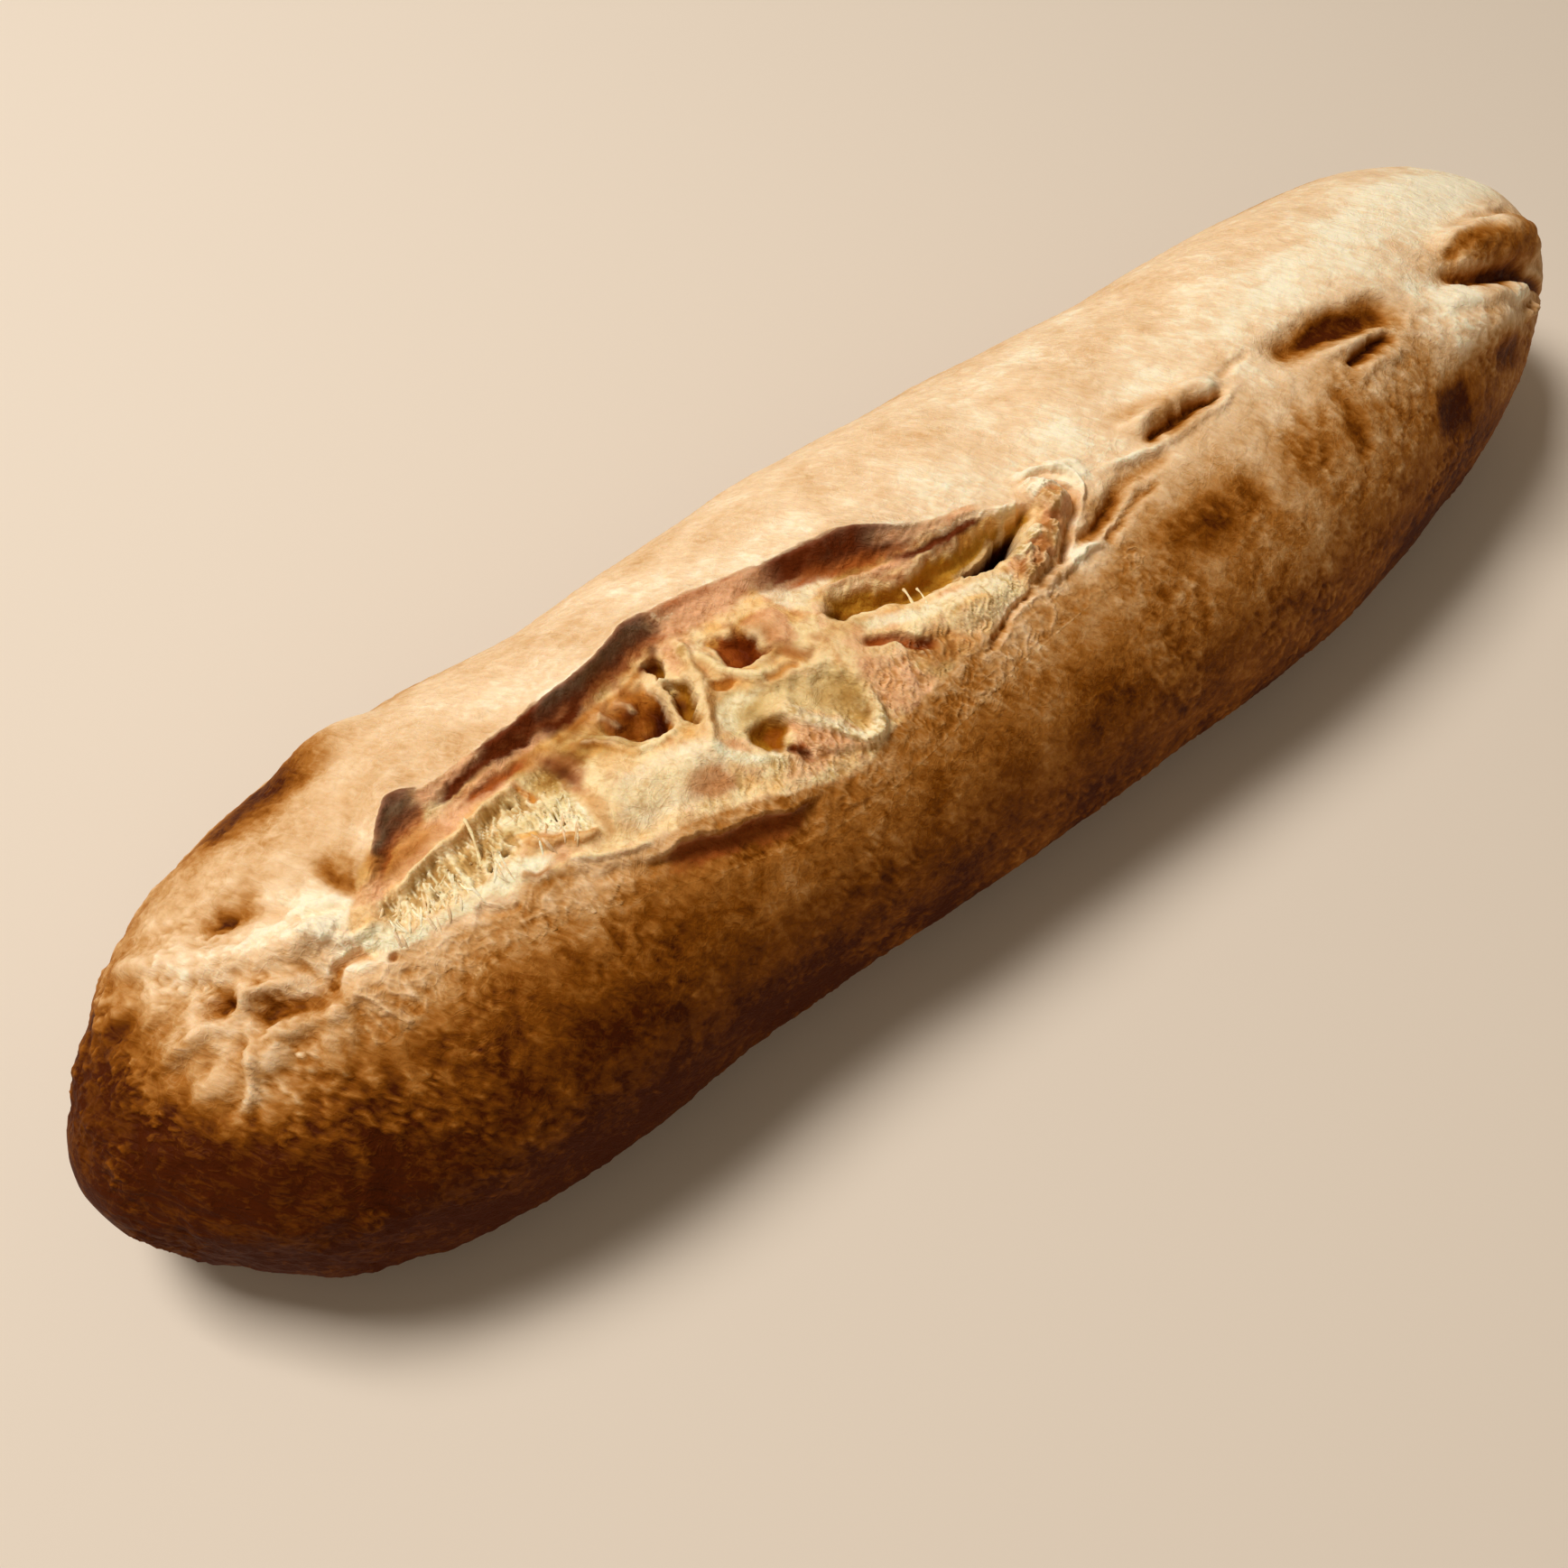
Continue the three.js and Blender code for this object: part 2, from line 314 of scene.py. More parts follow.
# Crust colours from unbrowned to dark, against the toast amount.
CRUST_COLOURS = [
    (0.0, linear(255, 243, 212)),
    (0.07, linear(250, 231, 195)),
    (0.16, linear(243, 212, 171)),
    (0.35, linear(224, 183, 134)),
    (0.5, linear(198, 147, 89)),
    (0.65, linear(170, 109, 43)),
    (0.8, linear(132, 73, 10)),
    (1.0, linear(73, 27, 1)),
]

MILK = linear(255, 248, 216)
IVORY = linear(254, 242, 210)
CREAM = linear(252, 230, 182)
BUFF = linear(244, 208, 154)
ROSE = linear(236, 180, 136)
HONEY = linear(240, 182, 96)
GOLD = linear(210, 144, 66)
TAN = linear(204, 144, 92)
RUST = linear(172, 92, 36)
AMBER = linear(168, 98, 16)
# painted shade in pores and at the shaded ends of pockets
OLIVE_SHADE = linear(146, 110, 44)
FILM = linear(236, 212, 160)
UMBER = linear(104, 44, 12)
# burnt crust, and the painted shade deep in the hole at the slot's far end
CHAR_AND_HOLE_SHADE = linear(58, 20, 8)
# the painted sheen on the ear's burnt rim
PLUM_SHEEN = linear(114, 64, 46)
OCHRE = linear(190, 138, 44)
FAWN = linear(184, 148, 92)


def box_blur(grid, half, axis):
    """Running mean over 2 * half + 1 places of a grid along one axis."""
    grid = np.moveaxis(grid, axis, 0)
    padded = np.concatenate([grid[:1].repeat(half + 1, 0), grid, grid[-1:].repeat(half, 0)])
    sums = np.cumsum(padded, axis=0)
    return np.moveaxis((sums[2 * half + 1:] - sums[:-2 * half - 1]) / (2 * half + 1), 0, axis)


END_TAPER = 0.15  # share of a stroke's length over which each of its ends fades
END_STRENGTH = 0.15  # how strong a stroke still is at its very ends


class Skin:
    """The rings' places, with the height, fine relief, paint and tint of each, all as flat arrays."""

    def __init__(self, stations, rows_at):
        around, angle = [], []
        for x in stations:
            arcs = measure_around(x)
            rows = rows_at(x, arcs[0], arcs[-1])
            around.append(rows)
            angle.append(np.interp(rows, arcs, ARC_ANGLES))
        self.rings = len(stations)
        self.rows = len(rows)
        self.along = np.repeat(stations, self.rows)
        self.around = np.concatenate(around)
        self.angle = np.concatenate(angle)
        self.base, self.out = loaf_frame(self.along, self.angle)
        self.height = np.zeros(len(self.base))
        self.fine = np.zeros(len(self.base))
        self.paint = {}
        self.tint = np.zeros((len(self.base), 3))
        wander = [0.7 * noise(self.base, 6, seed) + 0.3 * noise(self.base, 2, seed + 1)
                  + 0.14 * noise(self.base, 0.8, seed + 2) for seed in (11, 14)]
        self.places = np.stack([self.along, self.around], -1) + np.stack(wander, -1)
        self.past_ear = self.around - curve_through(EAR_LINE, self.along)

    def near(self, line, reach):
        """Which places lie within reach of a line's bounding box."""
        low = line.min(0) - reach
        high = line.max(0) + reach
        return np.flatnonzero(((self.places > low) & (self.places < high)).all(1))

    def stroke(self, points, width):
        """How strongly each place is on a line of this half width: less beside it and at its ends."""
        line = rounded(points)
        hit = self.near(line, width)
        distance, share = line_distance(self.places[hit], line)
        strength = np.zeros(len(self.places))
        ends = np.minimum(1, np.minimum(share, 1 - share) / END_TAPER + END_STRENGTH)
        strength[hit] = bell(distance / width) * ends
        return strength

    def blob(self, along, around, half_length, half_width, turn=0):
        """How strongly each place is in an oval spot, turned by an angle in degrees."""
        dx = self.places[:, 0] - along
        dy = self.places[:, 1] - around
        c, s = math.cos(math.radians(turn)), math.sin(math.radians(turn))
        return bell(np.hypot((c * dx + s * dy) / half_length, (c * dy - s * dx) / half_width))

    def region(self, outline, edge):
        """1 inside a closed outline, fading to 0 over this distance in from its edge."""
        ring = rounded(outline, closed=True)
        hit = self.near(ring, 1)
        strength = np.zeros(len(self.places))
        ragged = 0.35 * noise(self.base[hit], 1.5, seed=71)
        strength[hit] = smoothstep(0, edge, inside_distance(self.places[hit], ring) + ragged)
        return strength

    def strands(self, turn, width, length, seed, wander):
        """Ridges of torn strands running at an angle in degrees: 1 on their tops, down to 0 between."""
        c, s = math.cos(math.radians(turn)), math.sin(math.radians(turn))
        warp = [wander * width * noise(self.base, 2.6 * width, seed + k) for k in (7, 8)]
        x, y = self.places.T + warp
        drawn = np.stack([(c * x + s * y) / length, (c * y - s * x) / width, 0.3 * self.base[:, 2]], -1)
        waves = noise(drawn, 1, seed) + 0.45 * noise(drawn * 2.1, 1, seed + 3)
        return ridged(waves, 1.8)

    def rays(self, along, around, spread, length, seed):
        """Ridges that run out from a point: 1 on their tops, down to 0 between."""
        offset = self.places - (along, around)
        distance = np.hypot(*offset.T)
        turned = spread * offset / np.maximum(distance, 0.5)[:, None]
        drawn = np.column_stack([turned, distance / length])
        drawn += 0.35 * np.stack([noise(self.base, 4, seed + k) for k in (5, 6, 7)], -1)
        waves = noise(drawn, 1, seed) + 0.4 * noise(2.1 * drawn, 1, seed + 3)
        return ridged(waves, 1.8)

    def worms(self, size, seed):
        """Curly ridges of this size: 1 on their tops, 0 between."""
        warp = [0.9 * size * noise(self.base, 1.4 * size, seed + k) for k in (1, 2, 3)]
        waves = noise(self.base + np.stack(warp, -1), size, seed + 4)
        return ridged(waves, 2.4)

    def hollows(self, reach):
        """How far each place lies below its surroundings within this reach."""
        blurred = self.height.reshape(self.rings, self.rows)
        steps = (np.ptp(self.along) / self.rings, np.ptp(self.around) / self.rows)
        for axis, step in enumerate(steps):
            blurred = box_blur(blurred, max(1, round(reach / step)), axis)
        return blurred.ravel() - self.height

    def carve(self, height):
        """Adds fine relief; later its tops are lightened as painted highlights and its hollows browned
        as painted shade.
        """
        self.height += height
        self.fine += height

    def colour(self, strength, colour):
        """Lays a colour over the tint, as strongly as strength says at each place."""
        cover = np.clip(strength, 0, 1)[:, None]
        self.tint += (np.array(colour[:3]) - self.tint) * cover


# The ear: rim height, width of its inner face measured around, depth at the face's foot, how far
# the crumb takes to rise from there to the lower lip, and how burnt the face is.
EAR_HEIGHT = [(-104, 0), (-97, 0.4), (-93, 1.7), (-90, 2.0), (-86, 1.1), (-78, 0.9), (-70, 1.1),
              (-60, 1.8), (-52, 2.6), (-47, 2.3), (-39, 1.3), (-33, 0.9), (-26, 1.4), (-19, 2.1),
              (-14, 2.3), (-10, 1.6), (-5, 0.8), (3, 0.5), (9, 0.3), (15, 0)]
FACE_WIDTH = [(-104, 3), (-95, 4.5), (-90, 5), (-80, 4.6), (-72, 3.6), (-65, 3), (-57, 3), (-50, 4.2),
              (-42, 5.5), (-35, 4.5), (-30, 2.2), (-25, 3.0), (-20, 4.4), (-15, 5.4), (-11, 5.0),
              (-6, 3.4), (0, 2.6), (12, 2)]
BED_DEPTH = [(-108, 0), (-101, 0.4), (-94, 1.2), (-85, 1.6), (-76, 2.0), (-68, 2.4), (-58, 2.6),
             (-48, 2.2), (-40, 1.4), (-33, 1.2), (-26, 1.8), (-20, 2.4), (-13, 2.6), (-8, 1.4), (0, 0.6),
             (8, 0.2), (14, 0)]
BED_RISE = [(-104, 6), (-94, 10), (-80, 14), (-66, 17), (-50, 22), (-36, 24), (-22, 18), (-10, 16),
            (4, 10), (16, 6)]
BURNT = [(-101, 0), (-97, 0.4), (-94, 0.85), (-91, 0.95), (-88.4, 0.7), (-86, 0.2), (-82, 0.2),
         (-78, 0.5), (-74, 0.8), (-67, 0.9), (-60, 1.0), (-52, 1.0), (-48, 0.75), (-44, 0.3),
         (-38, 0.12), (-33, 0.3), (-28, 0.65), (-22, 0.95), (-14, 1.0), (-10, 0.65), (-6, 0.4),
         (2, 0.25), (7, 0)]
RIM_ROUNDING = 0.6
BEHIND_RIM = 9  # how far behind the rim the crust starts to rise to it


def shape_ear(skin):
    """The upper lip stands up as a thin ear, and its inner face drops to the crumb."""
    rim = curve_through(EAR_HEIGHT, skin.along) * (1 + 0.1 * noise(skin.base, 5, seed=21))
    face = curve_through(FACE_WIDTH, skin.along) * (1 + 0.25 * noise(skin.base, 5, seed=25))
    depth = curve_through(BED_DEPTH, skin.along)
    past = skin.past_ear + 0.25 * noise(skin.base, 2.5, seed=24)
    behind = np.clip(1 + past / BEHIND_RIM, 0, 1) ** 2.6
    fall = np.clip((past - RIM_ROUNDING) / face, 0, 1)
    fall = 1 - (1 - fall) ** 1.7
    bed_share = np.clip((past - face) / curve_through(BED_RISE, skin.along), 0, 1)
    bed = -depth * (1 - smoothstep(0, 1, bed_share))
    skin.height += np.where(past < 0, rim * behind, rim + (bed - rim) * fall)
    opened = smoothstep(-103, -96, skin.along) * (1 - smoothstep(6, 14, skin.along))
    down = past / face
    on_face = smoothstep(-0.3, 0.4, past) * (1 - smoothstep(0.7, 1.15, down)) * opened
    streaks = skin.strands(-8, width=0.8, length=6, seed=22, wander=0.8)
    skin.carve(0.26 * (streaks - 0.4) * on_face * smoothstep(0, 1, past))
    skin.paint["face"] = on_face
    skin.paint["down"] = np.clip(down, 0, 1)


# Where the loaf burst: from the ear's foot down to the lower lip.
BURST_OUTLINE = [(-106, 4), (-103, -1), (-98, -4.0), (-93, -7), (-90, -8.4), (-80, -7.4), (-66, -8.2),
                 (-50, -11.2), (-42, -11), (-28, -7.4), (-16, -4.4), (-8, 0.6), (2, 3.6), (11, 6.2),
                 (15, 6.6), (17.6, 9.6), (16.6, 13), (12, 15.4), (7, 18), (3, 19.4), (-3, 20), (-8, 22),
                 (-16, 23.4), (-26, 25.6), (-36, 27.6), (-44, 25.4), (-52, 22), (-60, 19.6), (-68, 18.4),
                 (-74, 16.2), (-80, 14.4), (-88, 12.6), (-97, 11.6), (-104, 9.4)]
# Torn crumb near the burst's near end, drawn out towards the front.
CRUMB_OUTLINE = [(-100, 2.6), (-95, 1.6), (-89, 0.6), (-84, -0.6), (-80, -1.6), (-76, -2.6), (-71, -3),
                 (-70.4, 3), (-70, 8), (-70.6, 11.6), (-74, 11), (-77, 9.4), (-79.4, 7.6), (-82, 9.6),
                 (-88, 9.6), (-95, 9.6), (-100, 8)]
# The ragged lip that overhangs the torn crumb.
CRUMB_LIP = [(-104, 4.4), (-99, 3.2), (-94.4, 2.2), (-89, 1.0), (-84.4, 0), (-80, -1), (-76.4, -2),
             (-70, -2.8)]
# Blotches all over the burst: how strong, the noise values where they start and are full, their
# size, seed and colour.
BLOTCHES = [
    (0.8, -0.3, 0.4, 6, 55, CREAM),
    (0.6, 0.0, 0.6, 4, 56, ROSE),
    (0.6, 0.1, 0.7, 5, 57, HONEY),
    (0.5, 0.15, 0.7, 3, 58, TAN),
]


def shape_bed(skin):
    """Torn crumb all over the burst, and strands drawn out towards the front near its near end."""
    burst = skin.region(BURST_OUTLINE, edge=2.5)
    torn = skin.region(CRUMB_OUTLINE, edge=2.4)
    comb = skin.strands(101, width=0.7, length=6, seed=41, wander=0.5)
    lumps = fractal(skin.base, 3.0, seed=42, octaves=2)
    below_lip = skin.places[:, 1] - np.interp(skin.places[:, 0], *zip(*CRUMB_LIP))
    high = 1 - smoothstep(2, 7, below_lip)
    skin.height -= torn * (0.5 + 1.0 * high)
    skin.carve(torn * (0.9 * (1 - 0.3 * high) * (comb - 0.4) + 0.2 * lumps * high))
    rough = burst * (1 - torn) * (1 - skin.paint["face"])
    far = smoothstep(-34, -22, skin.along) * smoothstep(12, 17, skin.around)
    low = smoothstep(15, 20, skin.around)
    curly = 0.25 + 0.75 * np.clip(far + low, 0, 1)
    drawn = skin.strands(104, width=0.7, length=4, seed=46, wander=1.0)
    skin.carve(rough * curly * 0.12 * (skin.worms(2.2, seed=43) - 0.3))
    skin.carve(rough * curly * 0.32 * (drawn - 0.3))
    skin.height += rough * (0.4 * noise(skin.base, 5, seed=44) + 0.12 * noise(skin.base, 2, seed=45))
    skin.paint["burst"] = burst
    skin.paint["torn"] = torn
    skin.colour(burst, BUFF)
    for strength, start, full, size, seed, colour in BLOTCHES:
        patches = smoothstep(start, full, fractal(skin.base, size, seed))
        skin.colour(strength * patches * burst, colour)
    skin.colour(0.9 * torn, CREAM)
    # Under the overhanging lip the torn crumb's hollows are painted ochre as shade.
    skin.colour(0.65 * torn * high * smoothstep(0.6, -0.2, lumps), OCHRE)
    # The grooves between the strands are painted fawn as their shade.
    skin.colour(0.75 * torn * smoothstep(0.35, 0.0, comb), FAWN)
    skin.colour(0.95 * torn * smoothstep(0.4, 0.8, comb), MILK)


# Colours of wider areas in the burst: outline, how far they fade in, colour, how strongly.
AREAS = [
    # the crust behind the near end's torn crumb, and the pale band in front of it
    ([(-99, -1), (-93, -4.4), (-86, -4.6), (-76, -5.6), (-74, -3.4), (-80, -1.4), (-88, 0.4), (-95, 2),
      (-100, 3)], 1.6, ROSE, 0.8),
    ([(-98, -3.2), (-93, -4.4), (-88, -4), (-86, -2.4), (-89, -0.6), (-94, 0), (-98, 0)], 1.6, GOLD,
     0.75),
    ([(-106, 4), (-101, 5), (-98, 8), (-92, 8.6), (-86, 8.8), (-82, 9), (-77.6, 11), (-79, 13),
      (-84, 12.8), (-90, 12.2), (-98, 11.8), (-104, 9)], 1.4, MILK, 1.0),
    ([(-75.6, -2.6), (-72, -2.6), (-70.8, 0), (-71, 4), (-74.4, 4)], 1.0, FILM, 0.9),
    ([(-79.6, 3.4), (-74, 3.6), (-70.6, 4.6), (-70.6, 9), (-71.4, 11.4), (-75.4, 10.2), (-78.6, 7)], 0.8,
     MILK, 0.9),
    ([(-71.4, -3.6), (-68, -3), (-66.2, 0.6), (-67, 5), (-69.4, 6.4), (-71, 4.4), (-71.8, 0)], 1.8, RUST,
     0.75),
    ([(-70.6, 0), (-68.4, 0.4), (-68.2, 3.8), (-70, 4.6)], 1.4, UMBER, 0.5),
    ([(-70.2, 6.4), (-68.4, 7), (-67.6, 10), (-69, 13), (-70.6, 13)], 0.9, GOLD, 0.6),
    # below the middle of the ear, and the web
    ([(-65, -6.4), (-59, -6.6), (-52, -7.2), (-50, -8.4), (-48, -7), (-51, -4.6), (-58, -4.6),
      (-65, -3.6)], 1.2, GOLD, 0.8),
    ([(-46.4, -11.6), (-40, -11.2), (-33, -9.4), (-30, -7.4), (-32, -5), (-40, -5.6), (-46, -6.4)], 1.5,
     ROSE, 0.9),
    ([(-48.8, -6), (-44, -6), (-43.4, -2), (-44.6, 2), (-47.4, 3), (-48.4, 0)], 1.0, ROSE, 0.6),
    ([(-36.6, -2), (-33, -2.6), (-30, -1), (-29.6, 3), (-32, 5.6), (-36, 3.6)], 1.2, ROSE, 0.9),
    ([(-30, -5), (-24, -3.6), (-19, -0.6), (-23, 0.6), (-27, 1.6), (-29.6, 0)], 1.0, IVORY, 0.7),
    # the bridge below the pockets, the peninsula and the fibres under it
    ([(-67, 8), (-60, 6.8), (-52, 8.4), (-50, 12), (-51, 16), (-56, 18), (-62, 17.4), (-68, 15)], 2.4,
     IVORY, 0.7),
    ([(-60, 13), (-55, 12.4), (-52, 14.4), (-51.4, 18), (-55, 19), (-59, 16.6)], 1.8, TAN, 0.9),
    ([(-41, 13), (-38.6, 14.6), (-36, 18), (-33.8, 22), (-37, 23.4), (-42, 21.6), (-44, 23), (-47, 21),
      (-42, 17)], 1.2, ROSE, 0.6),
    ([(-43, 17.4), (-40.6, 17.8), (-39.8, 20), (-40.4, 21.8), (-43, 20.4)], 0.9, RUST, 1.0),
    ([(-45, 24.6), (-40, 24.8), (-37.6, 27), (-41, 28.2), (-45, 26.4)], 0.9, RUST, 0.7),
    # the ledge in front of the slot and the brown crease under it
    ([(-24, 8), (-18, 9.8), (-11, 12), (-4, 13), (1.6, 14), (0.6, 17), (-5, 16.6), (-12, 15.6),
      (-18, 13), (-23, 11)], 1.2, MILK, 0.75),
    ([(-19.6, 16.4), (-14, 16.6), (-9.6, 19), (-9.6, 22.4), (-15, 22.4), (-19, 20)], 1.6, GOLD, 0.7),
    ([(-28, 13), (-23, 14.8), (-20, 18), (-17, 22), (-24, 25), (-28.6, 22)], 1.6, ROSE, 0.7),
    # the frill at the far end
    ([(2.6, 13), (6, 12.2), (9, 11.4), (11.6, 9.8), (14, 6.6), (17.2, 9), (16, 13), (11, 15.2), (6, 18),
      (2, 18)], 0.9, TAN, 0.85),
    ([(11.6, 9.6), (14, 6.8), (16.6, 9), (15.4, 12.4), (12.4, 12.6)], 0.9, ROSE, 0.8),
]


def lay_areas(skin, areas):
    for outline, edge, colour, strength in areas:
        skin.colour(strength * skin.region(outline, edge), colour)


# Open pockets in the crumb: outline, depth, how wide the wall is, how much deeper the floor gets
# along and around, and the colours where they are shallow and deep. The deep colour is painted shade.
POCKETS = [
    # the golden basin under the ear's middle
    ([(-62.8, -1.4), (-61.8, -5.8), (-56, -7.2), (-52.4, -5), (-51.6, -1.6), (-51.4, 1.6), (-52, 4.2),
      (-53.6, 5.8), (-56.2, 5.8), (-58.8, 4.2), (-61.4, 1.8)], 3.4, 2.6, 0.45, 0.8, GOLD, AMBER),
    # the small hole and the gap below it, each side of a thin ridge
    ([(-51.6, -7.2), (-48.8, -7), (-48.4, -4.6), (-49.1, -2.8), (-50.2, -2.3), (-51.2, -4.6)], 3.2, 0.9,
     0, 0.3, OCHRE, AMBER),
    ([(-50.8, -1.4), (-49, -1.8), (-47.6, 0), (-48, 3.4), (-49.4, 6.8), (-50.4, 8.2), (-51.4, 5.4),
      (-51.2, 1.9)], 2.8, 1.2, 0, 0, OCHRE, AMBER),
    # the red-brown pocket
    ([(-43, -4.4), (-40.4, -4.6), (-38.6, -3), (-36.4, -2.2), (-35.8, 0.4), (-36, 3.2), (-35, 4.8),
      (-38, 5.2), (-39.6, 4.6), (-41.4, 3.2), (-42.3, 1.2), (-42.2, -1.2)], 2.8, 2.0, 0.35, 0.35, RUST,
     RUST),
    # the amber corner between the web's branches
    ([(-47, 4.8), (-46, 2.6), (-44.6, 2.8), (-42.4, 5.2), (-44.6, 5.8)], 0.8, 1.0, 0, 0, GOLD, AMBER),
    # the wide pocket with a film over its floor
    ([(-49.4, 7.4), (-46.6, 4.6), (-44.2, 4.4), (-41.8, 6), (-39.2, 7.8), (-35, 9.2), (-31.4, 10.4),
      (-28.6, 13.2), (-27.9, 17), (-28.6, 19.4), (-30, 21.4), (-32, 22.1), (-33.6, 21.2), (-35.4, 18.6),
      (-37.3, 16.2), (-39.2, 14.4), (-41, 13), (-42, 15.6), (-44.4, 16.8), (-46.4, 15.6), (-48, 14.2),
      (-49.6, 12.2), (-50.4, 10)], 1.5, 3.0, 0.3, 0.4, FILM, FILM),
    # the deep hole in the film pocket's corner
    ([(-47.6, 14), (-46.8, 16.4), (-45, 18), (-43, 18.2), (-41.4, 17), (-40.2, 15.2), (-40.6, 12.6),
      (-42.8, 11.2), (-46, 11.8)], 2.2, 2.0, 0.1, 0.5, OCHRE, AMBER),
    # the long slot, and the hole at its far end, painted black as its shade
    ([(-25.8, 4.6), (-25.4, 2.6), (-23, 1.2), (-20, 1), (-17, 2.6), (-14, 4), (-10, 4.8), (-5, 4.9),
      (0, 5), (4, 5.4), (8, 6), (11.4, 6.6), (11.8, 8.6), (8.6, 11.2), (5.8, 12.2), (3.6, 13), (1, 13.4),
      (-4, 12.6), (-8, 12), (-12, 11), (-16, 10), (-19.4, 8.8), (-22, 7.8), (-25, 7.6)], 4.2, 3.0, -0.1,
     0.5, OCHRE, OCHRE),
    ([(-4.6, 11), (-1.6, 9.8), (2.4, 8.6), (6, 8), (8, 8.4), (6.6, 10.6), (4.4, 12), (0, 12.8),
      (-3.8, 12.8)], 6.5, 1.0, 0, 0, UMBER, CHAR_AND_HOLE_SHADE),
]


def cut_pockets(skin):
    for outline, depth, wall, lean_along, lean_around, shallow, deep_shade in POCKETS:
        ring = rounded(outline, closed=True)
        offset = (skin.places - ring.mean(0)) / (np.ptp(ring, axis=0) / 2)
        lean = 1 + offset @ np.array([lean_along, lean_around])
        opened = skin.region(outline, wall)
        sunk = opened * np.clip(lean, 0.15, 2)
        skin.height -= depth * sunk
        skin.height += 0.1 * depth * opened * noise(skin.base, 3, seed=66)
        skin.height += 0.03 * depth * opened * noise(skin.base, 1.6, seed=65)
        uneven = sunk * (1 + 0.3 * noise(skin.base, 2, seed=61))
        skin.colour(smoothstep(0.05, 0.5, uneven), shallow)
        # the deep colour, painted as shade deep in the pocket
        skin.colour(0.9 * smoothstep(0.8, 1.6, uneven), deep_shade)
    lay_areas(skin, POCKET_AREAS)


# Colours of areas inside the pockets: outline, how far they fade in, colour, how strongly.
POCKET_AREAS = [
    # the film pocket: milky film, ochre and cream sides, shaded far end
    ([(-49, 7.6), (-46, 6), (-41, 7.6), (-38, 10), (-42.6, 10), (-46.6, 12), (-49.6, 11)], 1.6, MILK,
     0.75),
    ([(-36, 12), (-31, 12.4), (-29, 16), (-30, 20.4), (-33, 20), (-35.4, 16.4)], 1.8, OCHRE, 0.25),
    ([(-31, 17), (-29.2, 17.6), (-29.6, 21), (-31.4, 21)], 1.0, OLIVE_SHADE, 0.5),
    ([(-36.6, 7), (-32, 8.6), (-29, 10.6), (-30, 12.6), (-34, 11.4), (-37.6, 9.6)], 1.6, CREAM, 0.8),
    ([(-42.6, 7), (-38.6, 8.4), (-35, 10), (-37, 11.4), (-41, 9.6)], 1.4, OCHRE, 0.4),
    # the deep hole's two tones, and the basin's shade
    ([(-46.4, 13), (-44.4, 12.6), (-44, 15.8), (-46, 16)], 1.0, OCHRE, 0.9),
    ([(-44.4, 14.4), (-42, 13.4), (-41, 15.6), (-42.6, 17.6), (-44.8, 17.4)], 0.9, AMBER, 0.9),
    ([(-57.6, 1.6), (-54.6, 0.8), (-52, 0.6), (-52.6, 3.4), (-54, 4.6), (-56.8, 4.4)], 1.2, UMBER, 0.6),
    # the slot: shaded near end, red-brown shade under its upper edge, and yellow crumb near its far end,
    # partly painted light where the wall is lit
    ([(-25.8, 3), (-23, 3), (-21.6, 5.4), (-23, 7.6), (-25.6, 7)], 1.4, OLIVE_SHADE, 0.8),
    ([(-16, 3), (-11, 4.4), (-5, 4.8), (1, 5), (0, 6.4), (-6, 6.4), (-13, 6)], 0.8, RUST, 0.6),
    ([(0, 5), (5, 5.4), (10, 6.4), (9, 8.4), (4, 7.4), (-1, 7)], 0.9, HONEY, 0.8),
]
